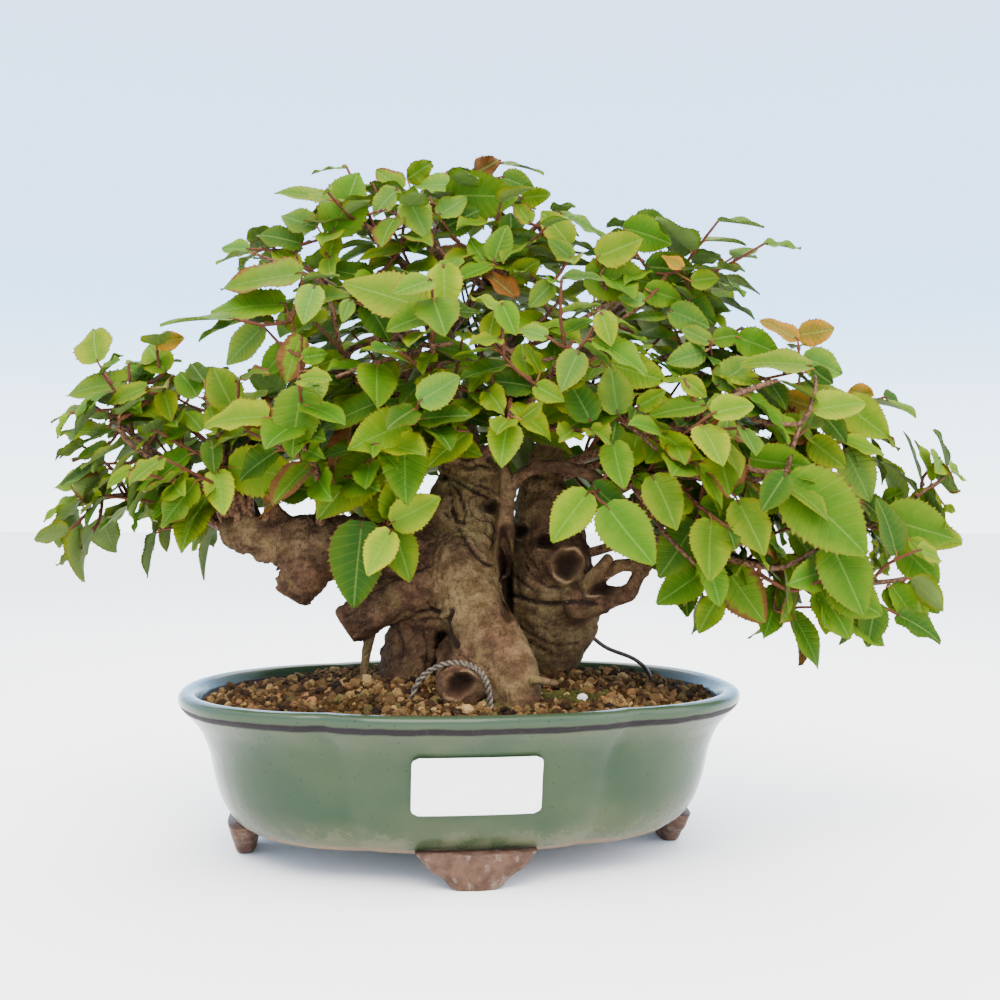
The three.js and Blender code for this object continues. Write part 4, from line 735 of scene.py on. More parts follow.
def grow_shoots(taken, spray, spacing, first=SHOOT_FIRST, ease=1.0):
    """Shoots leave the stem on alternate sides and bend towards the light."""
    random = spray["random"]
    total = path_length(spray["path"])
    hand = 1 if random() < 0.5 else -1
    at = first
    while at < total - END_FREE:
        point, way = walk(spray["path"], at)
        out = outward(point)
        across = unit(cross(way, square(out, way)))
        length = mix(SHOOT_LENGTH[1], SHOOT_LENGTH[0], at / total) * mix(0.8, 1.1, random())
        hand = -hand
        turns = [random() for _ in range(6)]
        for turn in turns:
            angle = (turn - 0.5) * 2.6
            sideways = add(scale(across, hand * math.cos(angle)), scale(out, math.sin(angle)))
            start = unit(add(scale(way, 0.55), scale(sideways, 0.85)))
            bend = unit(add(start, add(scale(out, 0.35), scale(way, 0.25))))
            middle = add(point, scale(start, length * 0.45))
            end = add(middle, scale(bend, length * 0.55))
            path = [(*point, SHOOT_RADIUS), (*middle, SHOOT_RADIUS * 0.9), (*end, SHOOT_RADIUS * 0.75)]
            balls = path_balls(path, WOOD_MARGIN)[1:]
            if taken.is_clear(balls, spray["name"], True, ease):
                taken.take(balls, spray["name"], True)
                spray["shoots"].append({"path": path, "leafy": False})
                break
        at += spacing * mix(0.85, 1.15, random())


# How leaves grow along a shoot in the solids: spacing, lengths, how far they face up and how far they hang,
# how close they may come to others, and the size of the balls that keep them apart
SOLID_LEAVES = {
    "spacing": LEAF_SPACING, "lengths": LEAF_LENGTH, "lift": 0.45, "droop": 0.35, "ease": 1.0,
    "ball": LEAF_BALL,
}


def grow_leaves(taken, spray, path, first, shoot, kind=SOLID_LEAVES):
    """Leaves stand in two rows along a shoot, hang a little, and face out of the crown."""
    spacing = kind["spacing"]
    shortest, longest = kind["lengths"]
    random = spray["random"]
    total = path_length(path)
    hand = 1 if random() < 0.5 else -1
    at = first
    while at <= total:
        last = at + spacing > total
        point, way = walk(path, total if last else at)
        out = outward(point)
        length = mix(shortest, longest, random()) * (0.8 if last else 1)
        hand = -hand
        for _ in range(TRIES):
            face = unit((
                out[0] + (random() - 0.5) * 1.3,
                out[1] + (random() - 0.5) * 1.3,
                out[2] + kind["lift"] + (random() - 0.5) * 0.9,
            ))
            across = cross(way, face)
            spread = (random() - 0.5) * 0.8 if last else hand * mix(0.75, 1.15, random())
            aim = add(scale(way, 0.7), add(scale(across, spread), (0, 0, -kind["droop"] * random())))
            tip_way = square(aim, face)
            stalk_way = unit(add(way, tip_way))
            foot = point if last and shoot else add(point, scale(stalk_way, length * STALK_SHARE))
            root = sub(point, add(scale(stalk_way, ROOT_DEPTH), scale(way, 1 if last else 0)))
            arch = mix(0.03, 0.2, random())
            fold = mix(0.05, 0.3, random())
            stalk = path[:2] if last and shoot else [(*root, STALK_RADIUS)]
            leaf = describe_leaf(stalk, foot, tip_way, face, length, arch, fold, None)
            balls = leaf_balls(leaf, kind["ball"])
            if taken.is_clear(balls, spray["name"], False, kind["ease"]):
                taken.take(balls, spray["name"], False)
                spray["grown"].append(leaf)
                if shoot:
                    shoot["leafy"] = True
                break
        at += spacing * mix(0.85, 1.15, random())


def grow_sprays():
    """All branches with the leaves of the part's solids, by the same rule and the same draws."""
    taken = Taken()
    for path in TRUNK_PATHS:
        taken.take(path_balls(path, BARK_MARGIN), "trunk", True)
    taken.take(path_balls(placed(ANCHOR_WIRE, 1), WOOD_MARGIN), "anchor_wire", True)
    for name, spray in SPRAYS.items():
        spray["name"] = name
        spray["path"] = grow_stem(spray)
        taken.take(path_balls(spray["path"], WOOD_MARGIN), name, True)
    for spray in SPRAYS.values():

        def reach(row):
            foot = seen(row[0], row[1], row[4])
            return size(sub(foot, nearest_on([spray["path"]], foot)))

        for row in sorted(spray["leaves"], key=reach):
            place_leaf(taken, spray, row)
    for spray in SPRAYS.values():
        grow_shoots(taken, spray, FRONT_SHOOT_SPACING if spray["leaves"] else SHOOT_SPACING)
    for spray in SPRAYS.values():
        for shoot in spray["shoots"]:
            grow_leaves(taken, spray, shoot["path"], LEAF_SPACING * 0.9, shoot)
        grow_leaves(taken, spray, spray["path"][-3:], LEAF_SPACING * 0.5, None)
    return taken


def to_frame(points):
    """Places in the tree's millimetres as an array in the frame's metres."""
    places = np.asarray(points, float).reshape(-1, 3) * MM
    return places + np.array((POT_MIDDLE.x, POT_MIDDLE.y, 0))


def link(name, data):
    """A new object in the scene."""
    thing = bpy.data.objects.new(name, data)
    bpy.context.scene.collection.objects.link(thing)
    return thing


def keep_numbers(mesh, **numbers):
    """Numbers that the materials read at each point."""
    for name, values in numbers.items():
        mesh.attributes.new(name, "FLOAT", "POINT").data.foreach_set("value", values)


def sharpen_edges(mesh, is_sharp):
    """Marks as sharp the edges for whose two points is_sharp says so."""
    ends = np.zeros(len(mesh.edges) * 2, np.int32)
    mesh.edges.foreach_get("vertices", ends)
    marks = is_sharp(ends.reshape(-1, 2)).all(1)
    mesh.attributes.new("sharp_edge", "BOOLEAN", "EDGE").data.foreach_set("value", marks)


def to_tree(point):
    """A place in the frame's metres, in the tree's millimetres."""
    return ((point[0] - POT_MIDDLE.x) / MM, (point[1] - POT_MIDDLE.y) / MM, point[2] / MM)


class Shape:
    """Points and faces that are collected for one piece, with numbers kept per point."""

    def __init__(self):
        self.points = []
        self.faces = []
        self.numbers = {}
        self.count = 0

    def put(self, points, faces, **numbers):
        self.points.append(np.asarray(points, float))
        self.faces.extend(tuple(k + self.count for k in face) for face in faces)
        for name, values in numbers.items():
            self.numbers.setdefault(name, []).append(np.broadcast_to(values, len(points)).astype(float))
        self.count += len(points)

    def make(self, name, node, slot, material, smooth=True):
        """One piece of the scene, in the place of a node of the CAD model if one is named."""
        mesh = bpy.data.meshes.new(name)
        mesh.from_pydata(to_frame(np.concatenate(self.points)), [], self.faces)
        keep_numbers(mesh, **{key: np.concatenate(values) for key, values in self.numbers.items()})
        mesh.polygons.foreach_set("use_smooth", [smooth] * len(mesh.polygons))
        mesh.update()
        piece = link(name, mesh)
        mesh.materials.append(materials[material])
        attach(piece, "root")
        if node:
            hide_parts(node)
        return piece


def loft_faces(rings, sides):
    """Quads between rings of points, and a lid at each end."""
    faces = []
    for i in range(rings - 1):
        for k in range(sides):
            a = i * sides + k
            b = i * sides + (k + 1) % sides
            faces.append((a, b, b + sides, a + sides))
    faces.append(tuple(reversed(range(sides))))
    faces.append(tuple((rings - 1) * sides + k for k in range(sides)))
    return faces


def put_tube(shape, path, sides, **numbers):
    shape.put(tube_points(path, sides), loft_faces(len(path), sides), **numbers)


def tube_points(path, sides):
    """Rings of points round a path of x, y, z and radius, without twist."""
    centres = np.array([point[:3] for point in path])
    ways = np.gradient(centres, axis=0)
    ways /= np.linalg.norm(ways, axis=1)[:, None]
    start = np.cross(ways[0], (0.31, 0.2, 0.93) if abs(ways[0][2]) < 0.8 else (1, 0, 0))
    rings = []
    for centre, way, point in zip(centres, ways, path):
        start = start - way * np.dot(start, way)
        start /= np.linalg.norm(start)
        other = np.cross(way, start)
        angles = np.arange(sides) * 2 * math.pi / sides
        spokes = np.cos(angles)[:, None] * start + np.sin(angles)[:, None] * other
        rings.append(centre + point[3] * spokes)
    return np.concatenate(rings)


# Foliage that the solids leave out: more leaves of the same kind between theirs
MORE_SHOOT_SPACING = 12
MORE_SHOOT_FIRST = 8
MORE_EASE = 0.6
PLACED_EASE = 0.5
SMALL_BALL = 1.5
MORE_LEAVES_FIRST = 5
STEM_LEAVES_FIRST = 14
BOX_MARGIN = 1.5
FRONT_DEPTH = 4  # leaves that stand nearer to the eye than this would hide the trunk
# Parts of the view where the trunk shows bare: x from, to, z from, to, as seen
BARE_VIEWS = ((-42, 84, 55, 141), (-104, -25, 92, 131), (8, 60, 130, 160))


def from_eye(point):
    """The place of a point as seen from the front: x, z and depth."""
    right = point[0] * math.cos(EYE_TURN) - point[1] * math.sin(EYE_TURN)
    depth = point[0] * math.sin(EYE_TURN) + point[1] * math.cos(EYE_TURN)
    nearer = (EYE_DISTANCE + depth) / EYE_DISTANCE
    x = (right - EYE_OFFSET) / nearer + EYE_OFFSET
    return x, EYE_HEIGHT + (point[2] - EYE_HEIGHT) / nearer, depth


class Limits(Taken):
    """The same places taken, with the limits that the added leaves keep to as well."""

    def __init__(self, taken):
        self.balls, self.owner, self.wood = taken.balls, taken.owner, taken.wood
        self.count, self.names = taken.count, taken.names
        self.low = np.array(to_tree(CAD_BOX[0])) + BOX_MARGIN
        self.high = np.array(to_tree(CAD_BOX[1])) - BOX_MARGIN

    def is_clear(self, balls, owner, wood, ease=1.0):
        new = np.array(balls)[:, :3]
        if (new < self.low).any() or (new > self.high).any():
            return False
        for point in new if not wood else ():
            x, z, depth = from_eye(point)
            if depth < FRONT_DEPTH and any(a < x < b and c < z < d for a, b, c, d in BARE_VIEWS):
                return False
        return super().is_clear(balls, owner, wood, ease)


# As SOLID_LEAVES, for the leaves that are added here
ADDED_LEAVES = {
    "spacing": 7.5, "lengths": (13, 25), "lift": 0.8, "droop": 0.12, "ease": MORE_EASE,
    "ball": SMALL_BALL,
}


def grow_more(taken):
    """More leaves on every branch: first the placed ones, then those that follow the rule."""
    for spray in SPRAYS.values():
        for row in spray["more"]:
            place_leaf(taken, spray, row, PLACED_EASE, SMALL_BALL)
    limits = Limits(taken)
    for spray in SPRAYS.values():
        grow_shoots(limits, spray, MORE_SHOOT_SPACING, MORE_SHOOT_FIRST, MORE_EASE)
    for spray in SPRAYS.values():
        for shoot in spray["shoots"]:
            grow_leaves(limits, spray, shoot["path"], MORE_LEAVES_FIRST, shoot, ADDED_LEAVES)
        for twig in spray["twigs"]:
            grow_leaves(limits, spray, twig, MORE_LEAVES_FIRST, None, ADDED_LEAVES)
        grow_leaves(limits, spray, spray["path"], STEM_LEAVES_FIRST, None, ADDED_LEAVES)
    return grow_bare_twigs(limits)


TWIG_LEAF_SEED = 211
HELD = 2  # a twig that starts further from its wood than this is drawn on to it


def grow_bare_twigs(limits):
    """Listed twigs hang together with the nearest branch, and carry a few leaves."""
    stems = [spray["path"] for spray in SPRAYS.values()] + TRUNK_PATHS
    twigs = branch(1, ())
    twigs.update(name="bare_twigs", random=make_random(TWIG_LEAF_SEED))
    for foot_radius, tip_radius, points in BARE_TWIGS:
        path = tapered([seen(*point) for point in points], foot_radius, tip_radius)
        near = nearest_on(stems, path[0])
        if size(sub(near, path[0])) > HELD:
            path.insert(0, (*near, foot_radius))
        twigs["shoots"].append({"path": path, "leafy": True})
        stems.append(path)
        limits.take(path_balls(path, WOOD_MARGIN), "bare_twigs", True)
    for shoot in twigs["shoots"]:
        first = path_length(shoot["path"]) * 0.6
        grow_leaves(limits, twigs, shoot["path"], first, None, ADDED_LEAVES)
    return twigs


# A leaf: veins on each side, and places between midrib and margin, for large leaves and for small ones
LARGE_FROM = 21.0
LARGE_BLADE = (10, (0.0, 0.34, 0.68))
SMALL_BLADE = (8, (0.0, 0.52))
BLADE_THICKNESS = 0.24
VEIN_SLANT = 0.15
PLEAT = 0.42  # height of the pleats between the veins of a blade as long as the next
PLEAT_LENGTH = 28
# How far each point of the margin stands out, and how far towards the tip, over one tooth and a half
TEETH = ((0.13, 0.02), (0, 0), (0.06, 0.01), (0, 0))
MIDRIB_DEPTH = 0.25
MIDRIB_WIDTH = 0.12
# Ranges of what is drawn for each blade
WAVES = (1.2, 2.4)
WAVE_HEIGHT = (0.2, 0.9)
SIDEWAYS = (-0.09, 0.09)
TIP_DROOP = (0.0, 0.5)
TIP_FROM = 0.68
SHADE = (0.82, 1.2)
WARMTH = (-0.1, 0.1)
DRYNESS = (0.5, 1.2)
TURN = 6.28
# Colour of the upper face, how dry the margin is, and how strongly the blade curls, for each tone
TONES = {
    "g": ((0.08, 0.16, 0.004), 0.35, 1.0),
    "y": ((0.14, 0.2, 0.002), 0.35, 1.0),
    "p": ((0.12, 0.2, 0.03), 0.3, 0.9),
    "d": ((0.04, 0.09, 0.006), 0.3, 1.0),
    "r": ((0.105, 0.165, 0.005), 0.75, 1.1),
    "e": ((0.13, 0.185, 0.005), 1.0, 1.5),
    "o": ((0.3, 0.16, 0.02), 0.6, 1.0),
    "b": ((0.16, 0.06, 0.018), 1.3, 2.6),
    "w": ((0.27, 0.33, 0.014), 0.3, 1.0),
}


def blade_layout(veins, columns):
    """Stations along and places across one blade, its teeth and pleats, and its triangles."""
    stations = 2 * veins + 1
    points = []
    for side in (-1, 1):
        for column in columns if side == 1 else columns[1:]:
            pleat = math.sin(math.pi * min(column * 1.1, 1))
            for j in range(stations):
                points.append((j / (stations - 1), side * column, 0, 0, -pleat if j % 2 else pleat))
    edge = 2 * (stations - 1) + 1
    margin_start = len(points)
    for side in (-1, 1):
        for m in range(edge):
            tooth, forward = TEETH[(m + 2) % 4] if 0 < m < edge - 1 else (0, 0)
            points.append((m / (edge - 1), side, tooth, forward, 0))
    last = len(columns) - 1

    def column_point(side, column, j):
        before = last if column == 0 else column - 1 if side == -1 else last + column
        return before * stations + j

    triangles = []
    for side in (-1, 1):
        for j in range(stations - 1):
            new = []
            for column in range(last):
                a, d = column_point(side, column, j), column_point(side, column, j + 1)
                b, c = column_point(side, column + 1, j), column_point(side, column + 1, j + 1)
                new += [(a, b, c), (a, c, d)]
            a, d = column_point(side, last, j), column_point(side, last, j + 1)
            m = margin_start + (0 if side == -1 else edge) + 2 * j
            new += [(a, m, m + 1), (a, m + 1, d), (d, m + 1, m + 2)]
            triangles += new if side == 1 else [(x, z, y) for x, y, z in new]
    return np.array(points, float).T, np.array(triangles), margin_start, veins


LARGE_LAYOUT = blade_layout(*LARGE_BLADE)
SMALL_LAYOUT = blade_layout(*SMALL_BLADE)
BROADEST = 0.38  # where along it a blade is widest
WIDTH_PLACES = np.arange(201) / 200
WIDTHS = np.array([leaf_width(min(max(t, 0.02), 0.98)) for t in WIDTH_PLACES])
WIDTHS **= np.where(WIDTH_PLACES < BROADEST, 0.66, 0.9)


def put_leaf(shape, leaf, random):
    """A thin closed blade: the upper face, and the lower face that shares its margin."""
    length = leaf["length"]
    layout, triangles, margin_start, veins = LARGE_LAYOUT if length > LARGE_FROM else SMALL_LAYOUT
    station, across, tooth, forward, pleat = layout
    colour, dry, curl = TONES[leaf["tone"]]
    t = station + VEIN_SLANT * np.abs(across) * np.sin(math.pi * station) ** 0.8 + forward
    t = np.minimum(t, 1)
    half = length * LEAF_SHAPE * np.interp(t, WIDTH_PLACES, WIDTHS) * (1 + tooth)
    half *= np.where(station >= 1, 0.02, 1)
    phase = random() * TURN
    waves = mix(*WAVES, random())
    wave = mix(*WAVE_HEIGHT, random()) * curl
    wave = wave * np.sin(TURN * waves * t + phase + 1.3 * np.sign(across)) * across ** 2
    sideways = mix(*SIDEWAYS, random()) * length * t ** 2
    tip_droop = -mix(*TIP_DROOP, random()) * curl * length * np.maximum(t - TIP_FROM, 0) ** 2
    pleats = pleat * np.sin(math.pi * np.clip(station * 1.05, 0, 1)) ** 0.5
    lift = -leaf["arch"] * length * t ** 2 + leaf["fold"] * np.abs(across) * half * (1 + 0.5 * (curl - 1))
    lift += wave + tip_droop + PLEAT * length / PLEAT_LENGTH * pleats
    lift -= MIDRIB_DEPTH * np.exp(-(across / MIDRIB_WIDTH) ** 2)
    foot, way, side, face = (np.array(leaf[key][:3]) for key in ("foot", "way", "side", "face"))
    upper = foot + way * (t * length)[:, None] + side * (across * half + sideways)[:, None]
    upper += face * lift[:, None]
    lower = upper[:margin_start] - face * BLADE_THICKNESS
    count = len(upper)
    partner = np.arange(count)
    partner[:margin_start] = count + np.arange(margin_start)
    faces = [tuple(face) for face in np.concatenate([triangles, partner[triangles][:, ::-1]])]
    both = np.concatenate([np.arange(count), np.arange(margin_start)])
    shade = mix(*SHADE, random())
    warm = mix(*WARMTH, random())
    under = np.concatenate([np.where(np.abs(across) == 1, 0.5, 0), np.ones(margin_start)])
    shape.put(
        np.concatenate([upper, lower]), faces,
        station=station[both], across=(across * half)[both], edge=np.abs(across)[both], under=under,
        red=colour[0] * shade * (1 + warm), green=colour[1] * shade, blue=colour[2] * shade * (1 - warm),
        dry=dry * mix(*DRYNESS, random()), veins=veins,
    )
    random()  # nothing uses this draw, but later ones would change without it


# Where tones are likely, as seen: the draw has to stay below the share
DEEP = 25
# Leaves deep in the crown take the dark tone "d" more often: painted shade inside the crown
DEEP_SHADED_SHARES = ((0.35, "d"), (0.75, "g"), (1.0, "y"))
FRONT_SHARES = ((0.34, "g"), (0.46, "d"), (0.78, "y"), (0.9, "r"), (0.985, "e"), (1.0, "b"))
PALE_CORNER = (-40, 195, 0.35)  # the upper left: x below, z above, share
ORANGE_CORNER = (120, 165, 0.07)  # the upper right: x above, z above, share


def choose_tone(leaf, random):
    """Leaves high and outside are lighter; the ones deep in the crown more often get the dark tone, as
    painted shade.
    """
    x, z, depth = from_eye(leaf["foot"])
    draw = random()
    if depth <= DEEP:
        if x < PALE_CORNER[0] and z > PALE_CORNER[1] and draw < PALE_CORNER[2]:
            return "p"
        if x > ORANGE_CORNER[0] and z > ORANGE_CORNER[1] and draw < ORANGE_CORNER[2]:
            return "o"
    # Deep leaves draw from shares weighted towards the dark tone, as painted shade
    shares = DEEP_SHADED_SHARES if depth > DEEP else FRONT_SHARES
    return next(tone for share, tone in shares if draw < share)


BUD = ((0, 0.35), (0.5, 0.75), (1.3, 0.7), (2.2, 0.12))  # how far out and how thick
STALK_SIDES = 5
SHOOT_SIDES = 6
STEM_SIDES = 9
STEM_STEPS = 4
# Age is 1 on old wood and 0 on green stalks
STEM_AGE = 1
THICK_AGE = 0.95
BUD_AGE = 0.8
SHOOT_AGE = 0.6
STALK_AGE = 0.1
SHORTEST_STALK = 0.5


def put_wood(shape, spray):
    """Stem, shoots, twigs, leaf stalks and buds of one branch."""
    if "path" in spray:
        stem = smooth_path([spray["inside"], *spray["path"]], STEM_STEPS)
        put_tube(shape, stem, STEM_SIDES, age=STEM_AGE)
    for shoot in spray["shoots"]:
        if shoot["leafy"]:
            age = SHOOT_AGE if shoot["path"][0][3] < 1 else THICK_AGE
            put_tube(shape, smooth_path(shoot["path"], 3), SHOOT_SIDES, age=age)
    for leaf in spray["grown"]:
        foot = (*leaf["foot"], STALK_RADIUS * 0.9)
        stalk = [*leaf["stalk"], foot]
        if size(sub(stalk[0], stalk[-1])) < SHORTEST_STALK:
            continue
        is_twig = len(stalk) > 2
        thin = [(*point[:3], point[3] * (1 if is_twig else 0.9)) for point in stalk]
        into = add(leaf["foot"], scale(leaf["way"], leaf["length"] * 0.1))
        thin.append((*add(into, scale(leaf["face"], -0.3)), STALK_RADIUS * 0.5))
        put_tube(shape, smooth_path(thin, 2), STALK_SIDES, age=SHOOT_AGE if is_twig else STALK_AGE)
        root = stalk[0][:3]
        gap = sub(stalk[1], root)
        way = unit(add(gap, scale(leaf["face"], size(gap) * 0.6)))
        bud = [(*add(root, scale(way, out)), radius) for out, radius in BUD]
        put_tube(shape, bud, STALK_SIDES, age=BUD_AGE)


TIP_MARGIN = 0.0006  # how far a leaf's tip stays inside the CAD model's box, in metres
TIP_REACH = 1.06  # how far the tip's last tooth goes, as a share of the length
SHORTENING = 0.92
MOST_SHORTENINGS = 24


def keep_inside(leaf):
    """Shortens a leaf whose tip would leave the CAD model's box."""
    low, high = (np.array(corner) for corner in CAD_BOX)
    for _ in range(MOST_SHORTENINGS):
        tip = to_frame(leaf_point(leaf, TIP_REACH, 0))[0]
        if (tip > low + TIP_MARGIN).all() and (tip < high - TIP_MARGIN).all():
            return
        leaf["length"] *= SHORTENING


LOOKS_SEED = 500  # added to a branch's seed for the draws that change looks alone


def make_foliage():
    """Two pieces for each branch: its leaves, and its wood."""
    bare = grow_more(grow_sprays())
    for name, spray in (*SPRAYS.items(), ("bare_twigs", bare)):
        random = make_random(spray["seed"] + LOOKS_SEED)
        node = name if name in SPRAYS else None
        blades = Shape()
        for leaf in spray["grown"]:
            keep_inside(leaf)
            leaf["tone"] = leaf["tone"] or choose_tone(leaf, random)
            put_leaf(blades, leaf, random)
        piece = blades.make(name + "_leaves", node, "leaf", "leaf")
        edge = np.concatenate(blades.numbers["edge"])
        sharpen_edges(piece.data, lambda ends: edge[ends] > 0.99)
        wood = Shape()
        put_wood(wood, spray)
        wood.make(name + "_wood", node, "leaf", "twig")


TRUNK_GRAIN = 1.05  # size of the trunk's fine mesh
LIMB_SIDES = 24
BLEND = 2.2  # how softly thick limbs flow into each other
THIN_BLEND = 0.7  # the same for thin ones
THIN = 6.0  # a limb whose middle is thinner than this is thin
CAP_ROUND = 1.2  # rounding of a cut end's edge
# Limbs that show but that the solids leave out
SMALL_LIMBS = {
    "cleft_wood": ((20, 60, 17, 9), (20, 104, 18, 9), (21, 128, 18, 6)),
    "right_stub_up": ((50, 104, -12, 2.6), (56, 111, -17, 2.5), (61, 117, -19, 2.1)),
    "right_lump": ((47, 100, -8, 5), (56, 101, -12, 4.5)),
    "loose_root": ((24, 66, -50, 2.2), (31, 66, -55, 1.6), (40, 64.5, -57, 1.0)),
    "branch_scar": ((18, 126, -18, 3.2), (18, 126, -21.5, 2.6)),
    "left_spur": ((-72, 128, -12, 4), (-78, 137, -14, 2.8), (-80, 143, -14, 2.2)),
}
# How dark and red the bark of a limb is, from 0, pale beige, to 1
LIMB_TONES = {
    "right_trunk": 0.5, "left_branch": 0.75, "rotten_stub": 1.0, "low_left_stub": 0.95, "left_root": 0.7,
    "front_root": 0.45, "cut_front_root": 0.9, "knot": 0.7, "cleft_wood": 1.0, "right_lump": 0.9,
    "right_stub_low": 0.75, "right_stub_high": 0.6, "right_stub_up": 0.5, "small_branch": 0.6,
    "small_branch_arc": 0.6, "loose_root": 0.4, "branch_scar": 0.8, "left_spur": 0.8, "thin_leg": 0.6,
}
PALE_TONE = 0.1  # of the limbs that aren't named above
CUT_LIMBS = ("left_branch", "low_left_stub", "cut_front_root", "rotten_stub", "knot")
SHOWN_LIMBS = {name: placed(path, 3) for name, path in (*LIMBS.items(), *SMALL_LIMBS.items())}
FAR = 60.0
LIMB_REACH = 12  # how far from its surface a limb still counts
CLIP = (-30, 40)  # limits of a distance, so that its exponential stays a number
TINY = 1e-6


def lengths(vectors):
    """Length of each row, never 0, as a column."""
    return np.maximum(np.linalg.norm(vectors, axis=1), TINY)[:, None]


def limb_distance(path, places):
    """Distance from a limb's surface, the way out, the way along it, and where its cut end is."""
    nearest = np.full(len(places), FAR)
    out = np.zeros((len(places), 3))
    ways = np.zeros((len(places), 3))
    cut = np.zeros(len(places))
    for a, b in zip(path[:-1], path[1:]):
        step = np.array(sub(b, a))
        span = np.linalg.norm(step)
        gap = places - np.array(a[:3])
        share = np.clip(gap @ step / span ** 2, 0, 1)
        middle = gap - share[:, None] * step
        side = lengths(middle)
        distance = side[:, 0] - (a[3] + (b[3] - a[3]) * share)
        closer = distance < nearest
        nearest[closer] = distance[closer]
        out[closer] = (middle / side)[closer]
        ways[closer] = step / span
    for end, before, is_last in ((path[0], path[1], 0), (path[-1], path[-2], 1)):
        cap_way = np.array(unit(sub(end, before)))
        gap = places - np.array(end[:3])
        from_side = nearest + CAP_ROUND
        from_end = gap @ cap_way + CAP_ROUND
        outside = np.hypot(np.maximum(from_side, 0), np.maximum(from_end, 0))
        inside = outside == 0
        side_share = np.where(inside, from_side >= from_end, np.maximum(from_side, 0))
        end_share = np.where(inside, from_side < from_end, np.maximum(from_end, 0))
        direction = out * side_share[:, None] + cap_way * end_share[:, None]
        direction /= lengths(direction)
        close = np.linalg.norm(gap, axis=1) < 1.7 * end[3] + 4
        capped = outside + np.minimum(np.maximum(from_side, from_end), 0) - CAP_ROUND
        nearest = np.where(close, capped, nearest)
        out = np.where(close[:, None], direction, out)
        cut = np.where(close, (end_share > side_share) * is_last, cut)
    return nearest, out, ways, cut


def join_limbs(names, places, blend, base=None):
    """Smoothly joined distance from some limbs and the base, with shares of what each limb is like."""
    if base is None:
        total = np.zeros(len(places))
        field = {key: np.zeros((len(places), 3)) for key in ("out", "way")}
        field.update({key: np.zeros(len(places)) for key in ("tone", "thick", "cut")})
    else:
        total = np.exp(-np.clip(base["distance"], *CLIP) / blend)
        field = {key: (values.T * total).T for key, values in base.items()}
    for name in names:
        points = np.array(SHOWN_LIMBS[name])
        reach = points[:, 3].max() + LIMB_REACH
        near = ((places > points[:, :3].min(0) - reach) & (places < points[:, :3].max(0) + reach)).all(1)
        chosen = np.flatnonzero(near)
        distance, out, ways, cut = limb_distance(SHOWN_LIMBS[name], places[chosen])
        weight = np.exp(-np.clip(distance, *CLIP) / blend)
        total[chosen] += weight
        field["out"][chosen] += out * weight[:, None]
        field["way"][chosen] += ways * weight[:, None]
        field["tone"][chosen] += LIMB_TONES.get(name, PALE_TONE) * weight
        field["thick"][chosen] += np.median(points[:, 3]) * weight
        if name in CUT_LIMBS:
            field["cut"][chosen] += cut * weight
    total = np.maximum(total, 1e-12)
    for key in ("tone", "thick", "cut"):
        field[key] = field[key] / total
    for key in ("out", "way"):
        field[key] = field[key] / lengths(field[key])
    field["distance"] = -blend * np.log(total)
    return field


def wood_field(places):
    """First the thick limbs flow into each other, then the thin ones stand on them."""
    thin = [name for name, path in SHOWN_LIMBS.items() if np.median(np.array(path)[:, 3]) < THIN]
    thick = [name for name in SHOWN_LIMBS if name not in thin]
    return join_limbs(thin, places, THIN_BLEND, join_limbs(thick, places, BLEND))


